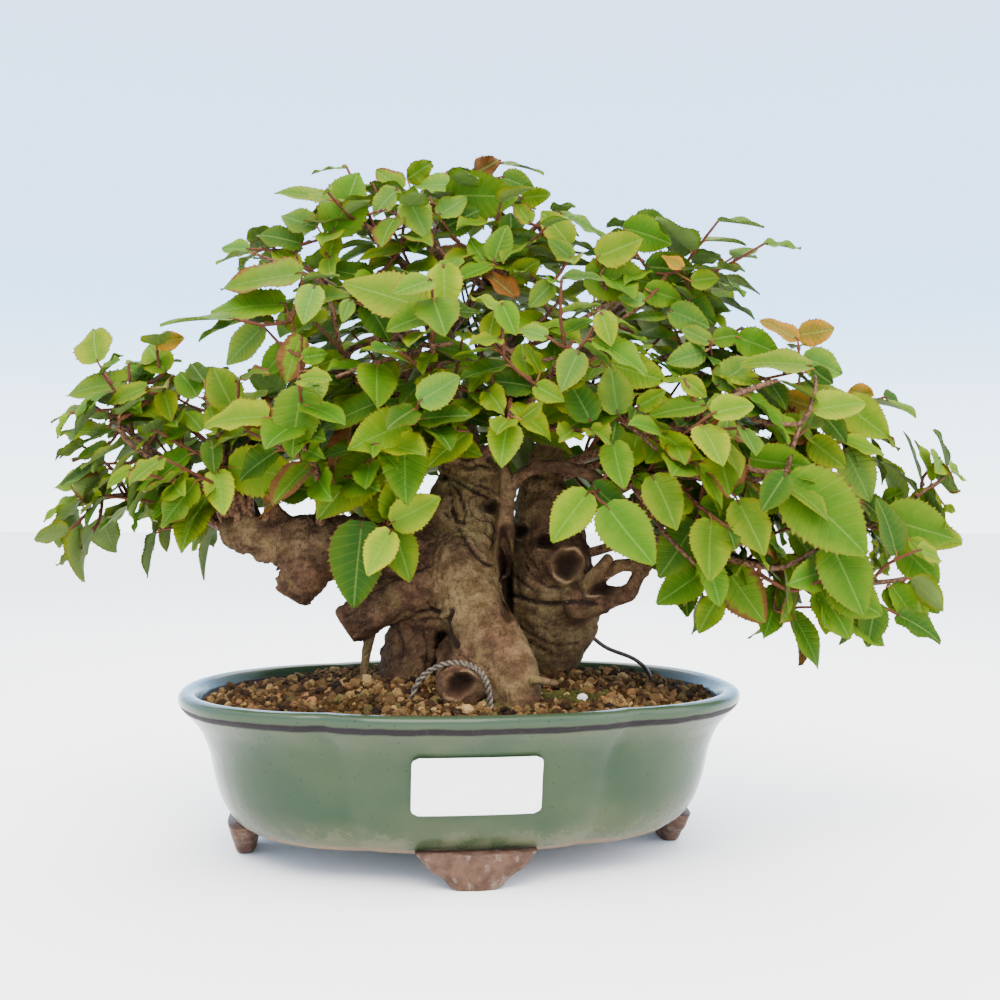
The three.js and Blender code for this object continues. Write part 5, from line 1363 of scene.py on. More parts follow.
# Folds pressed into the bark as seen from the front: x and z of each line, then its half width and depth
FOLDS = (
    (((-8, 149), (-4, 146), (-1.5, 143), (0, 139), (1.5, 134), (0.5, 130.6), (-2, 131.5), (-4, 136)),
     0.8, 1.3),
    (((-6, 146), (-4.5, 141), (-3, 134), (-0.5, 130), (3, 131), (4.5, 135)), 0.7, 1.0),
    (((-8.5, 150.5), (-3, 148), (3, 144.5), (8, 142), (13, 139.8)), 0.8, 1.2),
    (((-7, 152.5), (0, 149), (6, 146.5), (11, 145)), 0.7, 0.8),
    (((-6.5, 134), (-3, 129.5), (1, 124), (5, 118.5), (9, 114.5), (12, 112.8)), 0.9, 1.2),
    (((-4.5, 135), (-1, 128.5), (4.5, 124), (8, 118.5)), 0.7, 0.9),
    (((-2, 155), (3, 153), (7, 154.5), (11, 153)), 0.8, 0.9),
    (((-4, 158.5), (1, 156.5), (6, 158), (9, 160)), 0.8, 0.9),
    (((6, 138), (9, 134), (10, 130), (9.5, 126)), 0.7, 0.8),
    (((11, 132), (13, 128), (13, 123), (11.5, 119)), 0.7, 0.8),
    (((-4, 94), (-6, 90), (-5.5, 86), (-4, 82), (-2, 80)), 1.3, 2.2),
    (((-14, 96.5), (-11, 93.5), (-9, 91)), 0.9, 1.2),
    (((-18, 93), (-13, 94), (-8.5, 93.5), (-5.5, 95.5)), 0.9, 1.2),
    (((-17, 90), (-12, 91), (-8, 90), (-6, 91)), 0.8, 1.0),
    (((8, 92), (13, 93.8), (18, 92)), 0.6, 0.5),
    (((6, 96.5), (11, 98.5), (15.5, 97.5)), 0.6, 0.5),
    (((4, 101), (9, 103), (14, 102.5)), 0.6, 0.45),
    (((9, 86), (14, 88), (20, 86)), 0.6, 0.45),
    (((11, 80), (17, 82), (23, 80)), 0.6, 0.45),
    (((14, 74), (20, 75.5), (26, 73.5)), 0.6, 0.5),
    (((23, 88), (28, 84.5), (34, 81.5), (40, 80), (48, 80.5)), 0.7, 0.8),
    (((24, 84), (29, 80), (34, 78)), 0.7, 0.7),
    (((21, 100.5), (28, 98.5), (37, 97.2), (46, 98), (55, 97)), 1.1, 1.4),
    (((22, 108), (26, 105), (31, 101)), 0.8, 1.0),
    (((26, 113), (30, 107.5), (34, 104.5), (40, 103.5)), 0.8, 1.0),
    (((25, 119), (29, 114), (31.5, 109)), 0.8, 0.9),
    (((30, 92), (37, 90), (44, 91), (52, 88)), 0.7, 0.6),
    (((-40, 100), (-30, 105), (-20, 110), (-12, 113)), 0.8, 0.8),
    (((-44, 92), (-34, 96), (-26, 99)), 0.6, 0.5),
    (((-26, 86), (-24, 80), (-25, 72)), 0.9, 0.9),
    (((-16, 86), (-14, 78), (-15, 70)), 0.9, 0.9),
)


FOLD_LIP = 0.35  # height of the lip on both sides of a fold, as a share of its depth


def draped_folds(places, facing):
    """How deep the placed folds press the bark at each place, with a faint lip on both sides."""
    x, z = seen_flat(places)
    press = np.zeros(len(x))
    for points, half, deep in FOLDS:
        line = smooth_path([(a, b, 0.0) for a, b in points], 4)
        nearest = np.full(len(x), 9.0)
        for a, b in zip(line[:-1], line[1:]):
            step = np.array((b[0] - a[0], b[1] - a[1]))
            gap_x, gap_z = x - a[0], z - a[1]
            t = np.clip((gap_x * step[0] + gap_z * step[1]) / (step @ step), 0, 1)
            nearest = np.minimum(nearest, np.hypot(gap_x - t * step[0], gap_z - t * step[1]))
        lip = FOLD_LIP * np.exp(-((nearest - 2 * half) / half) ** 2)
        press += deep * (np.exp(-(nearest / half) ** 2) - lip)
    return press * facing


def seen_flat(places):
    """Where places of the tree appear to the eye, on the plane through the tree."""
    seen_places = np.array([from_eye(place) for place in places.tolist()])
    return seen_places[:, 0], seen_places[:, 1]


def share_of(value):
    return min(max(value, 0), 1)


def ridge(value, width):
    """1 where the value is a whole number, and less on both sides."""
    return math.exp(-((value - round(value)) / width) ** 2)


def bark_relief(places, field, folds):
    """Height and darkness of the bark: flutes along the wood, draped folds, rings, cracks and crumbs. The
    darkness is painted shade in the grooves and low places, and the crumbs' own dark colour.
    """
    relief = np.zeros(len(places))
    dark = np.zeros(len(places))
    for i, place in enumerate(places):
        at = Vector(place)
        way = Vector(field["way"][i])
        along_wood = at.dot(way)
        stretched = at - way * (along_wood * 0.8)
        share = min(field["thick"][i] / 12, 1)
        tone = field["tone"][i]
        flute = noise.noise(stretched * 0.085)
        broad = noise.fractal(at * 0.05, 1.0, 2.0, 3)
        rough = noise.fractal(at * 0.24, 0.9, 2.1, 3)
        fine = noise.fractal(at * 0.8, 0.8, 2.1, 2)
        bend = noise.noise(at * 0.055 + Vector((31, 7, 3)))
        contour = bend * 7.5 + noise.noise(at * 0.3) * 0.25
        line = ridge(contour, 0.1) * share_of(noise.noise(at * 0.035 + Vector((3, 40, 8))) * 5 + 0.4)
        turned = along_wood * 0.42 + noise.noise(at * 0.13) * 2.4
        ring = ridge(turned, 0.13) * share_of(noise.noise(at * 0.06 + Vector((9, 1, 50))) * 4 + 0.3)
        crack = max(1 - abs(noise.noise(stretched * 0.33 + Vector((8, 8, 1)))) * 9, 0)
        crack *= share_of(noise.noise(at * 0.08) * 4)
        crumbs = max(noise.noise(at * 0.45 + Vector((2, 5, 77))) - 0.12, 0) * share_of(tone * 2 - 0.7)
        relief[i] = share * (1.5 * flute + 1.0 * broad + (0.25 + 0.6 * tone) * rough) + 0.14 * fine
        relief[i] -= share * (0.6 * line + 0.3 * ring + 0.7 * crack)
        relief[i] += 2.2 * crumbs * share - folds[i] * max(share, 0.4)
        # Darkness: painted shade in the lines, rings, cracks, folds and low places of the relief, and the
        # dark colour of the crumbs
        dark[i] = max(line * 0.6, ring * 0.4, crack * 0.8, -rough * 0.7, crumbs, folds[i] * 0.9)
    return relief, dark


def fuse_limbs():
    """One closed skin of small squares round all limbs."""
    mesh = bpy.data.meshes.new("trunk_fine")
    points, faces = [], []
    for path in SHOWN_LIMBS.values():
        faces += [tuple(k + len(points) for k in face) for face in loft_faces(len(path), LIMB_SIDES)]
        points += tube_points(path, LIMB_SIDES).tolist()
    mesh.from_pydata(points, [], faces)
    piece = link("trunk_fine", mesh)
    fuse = piece.modifiers.new("fuse", "REMESH")
    fuse.mode = "VOXEL"
    fuse.voxel_size = TRUNK_GRAIN
    fused = bpy.data.meshes.new_from_object(piece.evaluated_get(bpy.context.evaluated_depsgraph_get()))
    piece.modifiers.clear()
    piece.data = fused
    bpy.data.meshes.remove(mesh)
    fused.name = "trunk_fine"
    return piece


SETTLE_ROUNDS = 3
LONGEST_SETTLE = 3  # of one round
CUT_SMOOTH = 0.25  # relief left on a cut end


def make_trunk():
    """The limbs flow into one skin, which then gets its bark, its hollows and its cut ends."""
    piece = fuse_limbs()
    mesh = piece.data
    places = np.empty(len(mesh.vertices) * 3)
    mesh.vertices.foreach_get("co", places)
    places = places.reshape(-1, 3)
    for _ in range(SETTLE_ROUNDS):
        field = wood_field(places)
        move = np.clip(field["distance"], -LONGEST_SETTLE, LONGEST_SETTLE)
        places = places - field["out"] * move[:, None]
    field = wood_field(places)
    facing = np.clip(-(field["out"] @ np.array(seen_way(0, 0, 1))) * 2.5, 0, 1)
    relief, dark = bark_relief(places, field, draped_folds(places, facing))
    relief = np.where(field["cut"] > 0.5, relief * CUT_SMOOTH, relief)
    places = places + field["out"] * relief[:, None]
    places, hollow, callus = press_hollows(places, facing)
    keep_numbers(
        mesh, relief=relief, dark=dark, hollow=hollow, callus=callus, tone=field["tone"], cut=field["cut"],
    )
    mesh.vertices.foreach_set("co", to_frame(places).ravel())
    mesh.polygons.foreach_set("use_smooth", [True] * len(mesh.polygons))
    mesh.materials.clear()
    mesh.materials.append(materials["bark"])
    mesh.update()
    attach(piece, "root")
    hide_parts("trunk")


# Hollows: x, z, radius and lean as seen, how much wider than high, how deep, and how high the callus is
HOLLOWS = (
    ((43.3, 113.3), 5.0, 0, 1.05, 6.5, 1.6),
    ((35, 122.5), 2.7, 0, 1.7, 6, 0.5),
    ((24.5, 127), 2.6, 0, 1.1, 6, 0.2),
    ((12, 137), 2.6, 0, 1.4, 5, 0.6),
    ((18, 108.5), 18, -0.05, 0.15, 13, 0),
    ((-7, 79), 6, -0.2, 0.55, 9, 0),
    ((58, 104), 3.2, 0.5, 1.5, 3, 0.4),
    ((-0.5, 64), 4.6, 0.1, 1.2, 4, 0.8),
)


def press_hollows(places, facing):
    """Rotten hollows and the cleft between the trunks, some with an uneven ring of callus. All are painted
    nearly black: the rotten wood's dark colour with painted shade.
    """
    hollow = np.zeros(len(places))
    callus = np.zeros(len(places))
    inward = np.array(seen_way(0, 0, 1))
    x, z = seen_flat(places)
    for (middle_x, middle_z), radius, lean, wide, deep, ring_height in HOLLOWS:
        up = z - middle_z
        across = x - middle_x - lean * up
        angle = np.arctan2(up, across)
        uneven = 1 + 0.1 * np.sin(2 * angle + middle_x) + 0.07 * np.sin(3 * angle + middle_z)
        uneven += 0.05 * np.sin(7 * angle)
        reach = np.hypot(across / wide, up) / uneven
        dent = np.exp(-(reach / radius) ** 6) * facing
        ring = np.exp(-((reach - 1.3 * radius) / (0.22 * radius)) ** 2) * facing
        ring *= 0.55 + 0.45 * np.sin(angle * 2 - 0.7)
        places = places + inward * (dent * deep - ring * ring_height)[:, None]
        # Where the bark is painted nearly black: the dark colour of rotten wood, deepened by painted shade
        # in the hollows and in the cleft between the trunks
        hollow = np.maximum(hollow, np.exp(-(reach / (radius * 0.92)) ** 6) * facing)
        if ring_height > 0:
            callus = np.maximum(callus, ring)
    return places, hollow, callus


POT_SIDES = 200
LEVEL_STEPS = 5
# The rolled lip: steps round it, its middle below the rim, its rise, and where it joins the walls
LIP_STEPS = 12
LIP_DROP = 1.2
LIP_RISE = 1.1
LIP_JOIN = 1.4
FLOOR_HEIGHT = 18
FLOOR_CORNER = 28  # inset of the corner between floor and wall
MIDDLE_INSET = 60  # of the last ring of the floor, and of the underside
WALL_WAVES = 0.4  # how far the walls wander in and out
WALL_REACH = 90
FOOT_CORNERS = 48
# Middle of each foot, and whether it lies along Y
FEET = (
    (-FOOT_REACH_X, 0, True), (FOOT_REACH_X, 0, True), (0, -FOOT_REACH_Y, False), (0, FOOT_REACH_Y, False),
)


def pot_outline(angles, inset):
    """The four-lobed outline of the pot, moved in by the inset."""
    across = np.abs(np.cos(angles)) / (RIM_HALF_LENGTH - inset)
    deep = np.abs(np.sin(angles)) / (RIM_HALF_DEPTH - inset)
    reach = (across ** POT_FULLNESS + deep ** POT_FULLNESS) ** (-1 / POT_FULLNESS)
    from_axis = np.arctan2(np.abs(np.sin(angles)), np.abs(np.cos(angles)))
    reach *= 1 - CREASE_DEPTH * np.exp(-np.abs(from_axis - CREASE_ANGLE) / CREASE_WIDTH)
    return reach * np.cos(angles), reach * np.sin(angles)


def pot_levels():
    """Height and inset of each ring: up the outside, over the lip, down the inside and across the floor."""
    middle = (POT_OUTSIDE[-1][1] + POT_INSIDE[0][1]) / 2
    half = (POT_INSIDE[0][1] - POT_OUTSIDE[-1][1]) / 2
    levels = [(BASE_HEIGHT, MIDDLE_INSET)]
    levels += [level for level in smooth_path(POT_OUTSIDE, LEVEL_STEPS) if level[0] < RIM_HEIGHT - LIP_JOIN]
    for k in range(1, LIP_STEPS):
        turn = math.pi * k / LIP_STEPS
        levels.append((RIM_HEIGHT - LIP_DROP + LIP_RISE * math.sin(turn), middle - half * math.cos(turn)))
    inside = smooth_path((*POT_INSIDE, (FLOOR_HEIGHT, FLOOR_CORNER)), LEVEL_STEPS)
    levels += [level for level in inside if level[0] < RIM_HEIGHT - LIP_JOIN]
    return [*levels, (FLOOR_HEIGHT, MIDDLE_INSET)]


def make_pot():
    """The glazed body as one skin, and the four bare feet."""
    angles = np.arange(POT_SIDES) * 2 * math.pi / POT_SIDES
    rings = []
    for height, inset in pot_levels():
        x, y = pot_outline(angles, inset)
        waves = np.array([noise.noise(Vector((a * 0.02, b * 0.02, height * 0.03))) for a, b in zip(x, y)])
        depth = WALL_WAVES if BASE_HEIGHT < height < RIM_HEIGHT - 2 else 0
        narrow = 1 - depth * np.abs(waves) / WALL_REACH
        rings.append(np.column_stack([x * narrow, y * narrow, np.full(POT_SIDES, height)]))
    body = Shape()
    body.put(np.concatenate(rings), loft_faces(len(rings), POT_SIDES))
    body.make("pot_body", "pot", "glaze", "glaze")
    feet = Shape()
    for foot in FEET:
        put_foot(feet, *foot)
    feet.make("pot_feet", "pot", "glaze", "clay")


def put_foot(shape, x, y, along_y):
    """A foot with shoulders, and with flat sides and round ends."""
    angles = np.arange(FOOT_CORNERS) * 2 * math.pi / FOOT_CORNERS
    rings = []
    for height, half_width, half_thickness in smooth_path(FOOT_LEVELS, 5):
        wide = half_width * np.cos(angles)
        thick = half_thickness * np.sign(np.sin(angles)) * np.sqrt(np.abs(np.sin(angles)))
        ring_x, ring_y = (x - thick, y + wide) if along_y else (x + wide, y + thick)
        rings.append(np.column_stack([ring_x, ring_y, np.full(FOOT_CORNERS, height)]))
    shape.put(np.concatenate(rings), loft_faces(len(rings), FOOT_CORNERS))


LABEL_COLUMNS = 40
LABEL_ROWS = 20
LABEL_CORNER = 2.5
LABEL_THICKNESS = 0.5
LABEL_MIDDLE = -1  # its place along the wall


def label_point(proud, i, k):
    """A point of the sticker, which lies on the wall and stands proud of it."""
    height = mix(LABEL_LOW, LABEL_HIGH, i / LABEL_ROWS)
    from_end = min(height - LABEL_LOW, LABEL_HIGH - height)
    cut = LABEL_CORNER - math.sqrt(max(LABEL_CORNER ** 2 - max(LABEL_CORNER - from_end, 0) ** 2, 0))
    x = mix(-LABEL_WIDTH / 2 + cut, LABEL_WIDTH / 2 - cut, k / LABEL_COLUMNS) + LABEL_MIDDLE
    inset = float(np.interp(height, *zip(*POT_OUTSIDE))) - proud
    across = abs(x) / (RIM_HALF_LENGTH - inset)
    return x, -(RIM_HALF_DEPTH - inset) * (1 - across ** POT_FULLNESS) ** (1 / POT_FULLNESS), height


def make_label():
    """A blank sticker with round corners, bent with the wall it lies on."""
    row = LABEL_COLUMNS + 1
    count = row * (LABEL_ROWS + 1)
    points = [
        label_point(proud, i, k)
        for proud in (GAP + LABEL_THICKNESS, GAP)
        for i in range(LABEL_ROWS + 1)
        for k in range(row)
    ]
    faces = []
    for i in range(LABEL_ROWS):
        for k in range(LABEL_COLUMNS):
            a = i * row + k
            faces.append((a, a + 1, a + 1 + row, a + row))
            faces.append((count + a, count + a + row, count + a + 1 + row, count + a + 1))
    rim = list(range(row))
    rim += [i * row + LABEL_COLUMNS for i in range(1, LABEL_ROWS + 1)]
    rim += [LABEL_ROWS * row + k for k in range(LABEL_COLUMNS - 1, -1, -1)]
    rim += [i * row for i in range(LABEL_ROWS - 1, 0, -1)]
    for a, b in zip(rim, rim[1:] + rim[:1]):
        faces.append((b, a, a + count, b + count))
    shape = Shape()
    shape.put(points, faces)
    label = shape.make("label_sticker", "label", "paper", "paper")
    sharpen_edges(label.data, lambda ends: np.isin(ends % count, rim))


GRANULES = 5200
MOST_TRIES = 4 * GRANULES
GRANULE_RADIUS = (0.75, 2.3)
FINER_MORE = 1.7  # exponent that makes small granules more frequent
GRANULE_LIFT = (-0.3, 0.6)  # of the middle above the soil, as a share of the radius
GRANULE_STRETCH = (0.72, 1.15)
GRANULE_SHADE = (0.75, 1.3)
GRANULE_LUMPS = 0.6
ROUND_FROM = 1.9  # radius from which a granule gets the finer shape
SOIL_INSET = 9.5  # from the rim's outline to the edge of the soil
SOIL_LOWEST = 55  # lower ground than this is the gap beside the soil
ABOVE_SOIL = 100
# Colours of the granules, and how frequent each is
GRANULE_TONES = (
    (0.04, 0.02, 0.008), (0.08, 0.042, 0.015), (0.125, 0.068, 0.024), (0.18, 0.105, 0.038),
    (0.27, 0.17, 0.065), (0.22, 0.1, 0.04), (0.016, 0.009, 0.005), (0.085, 0.068, 0.02),
)
TONE_WEIGHTS = (0.22, 0.22, 0.2, 0.13, 0.06, 0.04, 0.08, 0.05)
MOSS = ((44.3, 61.7, -38), 11, 90)  # middle as seen, reach and how many tufts
MOSS_COLOUR = (0.055, 0.055, 0.012)
MOSS_SHADE = (0.6, 1.3)
MOSS_RADIUS = (0.9, 2.0)
MOSS_LUMPS = 0.9
PEBBLE = ((49.5, 61, -41), 2.4)  # place as seen and radius
PEBBLE_COLOUR = (0.7, 0.66, 0.58)
PEBBLE_LIFT = 1.6
PEBBLE_LUMPS = 0.2


def ball_mesh(detail):
    """A unit ball of small triangles."""
    shape = bmesh.new()
    bmesh.ops.create_icosphere(shape, subdivisions=detail, radius=1)
    points = np.array([point.co for point in shape.verts])
    faces = [tuple(point.index for point in face.verts) for face in shape.faces]
    shape.free()
    return points, faces


def put_granule(shape, ball, place, radius, colour, random, lumpy=GRANULE_LUMPS):
    """One crumb: a ball that is stretched, dented and turned at random."""
    points, faces = ball
    turn = Matrix.Rotation(random.uniform(0, TURN), 3, Vector(random.normal(size=3)).normalized())
    shift = random.uniform(0, 100, 3)
    lumps = np.array([noise.noise(Vector(point * 1.3 + shift)) for point in points])
    stretch = random.uniform(*GRANULE_STRETCH, 3)
    moved = (points * stretch * (1 + lumpy * lumps[:, None])) @ np.array(turn) * radius + place
    shape.put(moved, faces, red=colour[0], green=colour[1], blue=colour[2])


def make_soil():
    """Loose granules lie on the CAD soil; moss and a white pebble lie among them on the right."""
    random = np.random.default_rng(11)
    ground = BVHTree.FromObject(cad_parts["soil"], bpy.context.evaluated_depsgraph_get())
    coarse, fine = ball_mesh(1), ball_mesh(2)
    pieces = [Shape(), Shape()]

    def ground_height(x, y):
        hit = ground.ray_cast(Vector(to_frame((x, y, ABOVE_SOIL))[0]), Vector((0, 0, -1)))[0]
        return 0 if hit is None else hit.z / MM

    placed_count = 0
    for _ in range(MOST_TRIES):
        if placed_count >= GRANULES:
            break
        angle = random.uniform(0, 2 * math.pi)
        share = math.sqrt(random.uniform(0, 1))
        x, y = (float(value[0]) * share for value in pot_outline(np.array([angle]), SOIL_INSET))
        ground_z = ground_height(x, y)
        if ground_z < SOIL_LOWEST:
            continue
        radius = mix(*GRANULE_RADIUS, random.uniform() ** FINER_MORE)
        place = (x, y, ground_z + radius * random.uniform(*GRANULE_LIFT))
        tone = GRANULE_TONES[random.choice(len(GRANULE_TONES), p=TONE_WEIGHTS)]
        shade = random.uniform(*GRANULE_SHADE)
        ball = fine if radius > ROUND_FROM else coarse
        put_granule(pieces[placed_count % 2], ball, place, radius, scale(tone, shade), random)
        placed_count += 1
    (x, z, depth), radius = PEBBLE
    x, y, _ = seen(x, z, depth)
    place = (x, y, ground_height(x, y) + PEBBLE_LIFT)
    put_granule(pieces[0], fine, place, radius, PEBBLE_COLOUR, random, PEBBLE_LUMPS)
    for number, shape in enumerate(pieces):
        shape.make(f"soil_granules_{number + 1}", None, "soil", "granule", smooth=False)
    (x, z, depth), reach, tufts = MOSS
    middle_x, middle_y, _ = seen(x, z, depth)
    moss = Shape()
    for _ in range(tufts):
        x = middle_x + random.normal() * reach / 2
        y = middle_y + random.normal() * reach / 3
        ground_z = ground_height(x, y)
        if ground_z < SOIL_LOWEST:
            continue
        colour = scale(MOSS_COLOUR, random.uniform(*MOSS_SHADE))
        radius = random.uniform(*MOSS_RADIUS)
        put_granule(moss, fine, (x, y, ground_z + radius * 0.3), radius, colour, random, MOSS_LUMPS)
    moss.make("moss", None, "soil", "granule")


TIE_TURNS = 11
STRAND_RADIUS = 0.6
STRAND_REACH = 0.62  # from the middle of the tie to the middle of a strand
RING_SIDES = 16


def make_wires():
    """The grey tie is two strands twisted together; the other wire is a single dark one."""
    route = [(*point[:3], STRAND_REACH) for point in placed(TIE_WIRE, 24)]
    rings = tube_points(route, RING_SIDES).reshape(len(route), RING_SIDES, 3)
    tie = Shape()
    for strand in (0, math.pi):
        helix = []
        for i, ring in enumerate(rings):
            angle = strand + 2 * math.pi * TIE_TURNS * i / (len(route) - 1)
            middle = ring.mean(0)
            side, up = ring[0] - middle, ring[RING_SIDES // 4] - middle
            helix.append((*(middle + side * math.cos(angle) + up * math.sin(angle)), STRAND_RADIUS))
        put_tube(tie, helix, 10)
    tie.make("tie_wire_strands", "tie_wire", "wire", "wire")
    anchor = Shape()
    put_tube(anchor, placed(ANCHOR_WIRE, 10), 14)
    anchor.make("anchor_wire_round", "anchor_wire", "dark_wire", "dark_wire")


class Paint:
    """A node material, written in short steps. Places come in millimetres."""

    def __init__(self, name):
        self.material = bpy.data.materials.new(name)
        self.material.use_nodes = True
        self.tree = self.material.node_tree
        self.tree.nodes.clear()
        place = self.add("TexCoord", {}).outputs["Object"]
        self.place = self.add("VectorMath", {0: place, "Scale": 1 / MM}, operation="SCALE").outputs[0]

    def add(self, kind, sockets, **settings):
        """A new node with its settings, and a value or another node's result in each named socket."""
        node = self.tree.nodes.new("ShaderNode" + kind)
        for name, value in settings.items():
            setattr(node, name, value)
        for name, value in sockets.items():
            socket = node.inputs[name]
            if isinstance(value, bpy.types.NodeSocket):
                self.tree.links.new(value, socket)
            elif socket.type == "RGBA":
                socket.default_value = (*value, 1)
            else:
                socket.default_value = value
        return node

    def attribute(self, name):
        return self.add("Attribute", {}, attribute_name=name).outputs["Fac"]

    def own_colour(self):
        """The colour that is kept at each point of the piece."""
        parts = {i: self.attribute(name) for i, name in enumerate(("red", "green", "blue"))}
        return self.add("CombineColor", parts).outputs[0]

    def height(self):
        return self.add("SeparateXYZ", {0: self.place}).outputs[2]

    def calc(self, operation, a, b=0.0):
        return self.add("Math", {0: a, 1: b}, operation=operation).outputs[0]

    def times(self, a, b):
        return self.calc("MULTIPLY", a, b)

    def plus(self, a, b, share=1.0):
        """The sum of a and a share of b."""
        return self.add("Math", {0: b, 1: share, 2: a}, operation="MULTIPLY_ADD").outputs[0]

    def step(self, value, low, high, out_low=0.0, out_high=1.0):
        """A soft step from out_low to out_high while the value goes from low to high."""
        sockets = {
            "Value": value, "From Min": low, "From Max": high, "To Min": out_low, "To Max": out_high,
        }
        return self.add("MapRange", sockets, interpolation_type="SMOOTHSTEP").outputs["Result"]

    def band(self, value, rise, fall):
        """1 between the rise and the fall, with soft ends."""
        return self.times(self.step(value, *rise), self.step(value, fall[1], fall[0]))

    def mix(self, share, a, b, kind="MIX"):
        return self.add("Mix", {0: share, 6: a, 7: b}, data_type="RGBA", blend_type=kind).outputs[2]

    def tint(self, share, colour, factor):
        return self.mix(share, colour, factor, "MULTIPLY")

    def cover(self, colour, *layers):
        """Layers of colour over each other, each with its share."""
        for share, layer in layers:
            colour = self.mix(share, colour, layer)
        return colour

    def noise(self, scale, detail=3.0, stretch=(1, 1, 1), rough=0.5):
        place = self.add("Mapping", {"Vector": self.place, "Scale": stretch}).outputs[0]
        sockets = {"Vector": place, "Scale": scale, "Detail": detail, "Roughness": rough}
        return self.add("TexNoise", sockets).outputs["Fac"]

    def wander(self, scale, detail):
        """A noise that goes as far below 0 as above it."""
        return self.plus(self.noise(scale, detail), -0.5)

    def spots(self, scale, low, high):
        """Small round spots: 1 inside a spot and 0 outside."""
        distance = self.add("TexVoronoi", {"Vector": self.place, "Scale": scale}).outputs["Distance"]
        return self.step(distance, low, high, 1.0, 0.0)

    def contours(self, scale, levels, width):
        """Thin nested curves: 1 where a slow noise passes one of its levels."""
        slow = self.times(self.noise(scale, 1.0), levels)
        near = self.calc("ABSOLUTE", self.plus(self.calc("FRACT", slow), -0.5))
        return self.step(near, width, width * 2.4, 1.0, 0.0)

    def bump(self, height, distance):
        return self.add("Bump", {"Strength": 1.0, "Distance": distance * MM, "Height": height}).outputs[0]

    def surface(self, colour, roughness, normal, shine, metal=0.0):
        sockets = {
            "Base Color": colour, "Roughness": roughness, "Normal": normal, "Specular IOR Level": shine,
            "Metallic": metal,
        }
        return self.add("BsdfPrincipled", sockets).outputs[0]

    def finish(self, surface):
        self.add("OutputMaterial", {"Surface": surface})
        return self.material


LEAF_GLOW = 0.36  # share of the light that comes through a leaf


def paint_leaf():
    """Straight veins, a pale midrib, a grey-green underside and a margin that browns where it is dry, with
    painted shade towards the middle of the blade and painted light towards its margin.
    """
    paint = Paint("hornbeam_leaf")
    edge = paint.attribute("edge")
    station = paint.attribute("station")
    beat = paint.calc("FRACT", paint.times(station, paint.attribute("veins")))
    vein = paint.step(paint.calc("ABSOLUTE", paint.plus(beat, -0.5)), 0.03, 0.13, 1.0, 0.0)
    midrib = paint.step(paint.calc("ABSOLUTE", paint.attribute("across")), 0.15, 0.55, 1.0, 0.0)
    patches = paint.noise(0.35)
    speckle = paint.noise(2.2, 2.0)
    colour = paint.tint(paint.step(patches, 0.4, 0.75, 0.0, 0.35), paint.own_colour(), (1.3, 1.15, 0.8))
    colour = paint.tint(paint.step(speckle, 0.35, 0.7, 0.0, 0.25), colour, (0.7, 0.78, 0.7))
    # Painted light: the blade is painted darker towards its middle as painted shade, and lighter and
    # yellower towards its margin as painted light
    margin_painted_light = paint.step(paint.plus(edge, paint.noise(0.14, 2.0), 0.9), 0.6, 1.5)
    colour = paint.tint(1.0, colour, paint.mix(margin_painted_light, (0.6, 0.82, 0.6), (1.26, 1.1, 0.35)))
    pale = paint.mix(0.5, colour, (0.3, 0.38, 0.07))
    worn = paint.plus(paint.plus(edge, station, 0.25), patches, 0.7)
    dry_from = paint.calc("SUBTRACT", 2.0, paint.attribute("dry"))
    dry = paint.step(worn, dry_from, paint.plus(dry_from, 0.3))
    teeth = paint.step(paint.plus(edge, patches, 0.1), 0.98, 1.05, 0.0, 0.6)
    colour = paint.cover(
        colour,
        (paint.times(vein, 0.16), pale),
        (paint.times(midrib, 0.5), pale),
        (dry, paint.mix(patches, (0.07, 0.022, 0.006), (0.2, 0.085, 0.02))),
        (teeth, (0.14, 0.035, 0.012)),
    )
    under = paint.step(paint.attribute("under"), 0.6, 0.9)
    colour = paint.mix(under, colour, paint.mix(0.5, colour, (0.2, 0.26, 0.09)))
    veins_high = paint.times(paint.plus(vein, midrib), -1.0)
    normal = paint.bump(paint.plus(veins_high, paint.noise(3.0), 0.6), 0.14)
    face = paint.surface(colour, 0.55, normal, 0.1)
    through = paint.add("BsdfTranslucent", {"Color": paint.tint(1.0, colour, (1.15, 1.2, 0.55))})
    return paint.finish(paint.add("MixShader", {0: LEAF_GLOW, 1: face, 2: through.outputs[0]}).outputs[0])


def paint_twig():
    """Green or red on young wood, red-brown on shoots and grey-brown on old stems, with pale dots."""
    paint = Paint("hornbeam_twig")
    age = paint.attribute("age")
    young = paint.mix(paint.noise(0.5), (0.2, 0.12, 0.02), (0.2, 0.045, 0.012))
    red = paint.mix(paint.noise(0.8), (0.05, 0.014, 0.006), (0.13, 0.042, 0.018))
    cloud = paint.step(paint.noise(0.9, 4.0), 0.35, 0.65)
    colour = paint.cover(
        young,
        (paint.step(age, 0.05, 0.5), red),
        (paint.step(age, 0.7, 1.0), paint.mix(cloud, (0.03, 0.013, 0.006), (0.15, 0.075, 0.036))),
        (paint.times(paint.spots(1.6, 0.12, 0.22), 0.5), (0.26, 0.17, 0.1)),
    )
    normal = paint.bump(paint.noise(1.6, 5.0, rough=0.65), 0.6)
    return paint.finish(paint.surface(colour, 0.6, normal, 0.12))


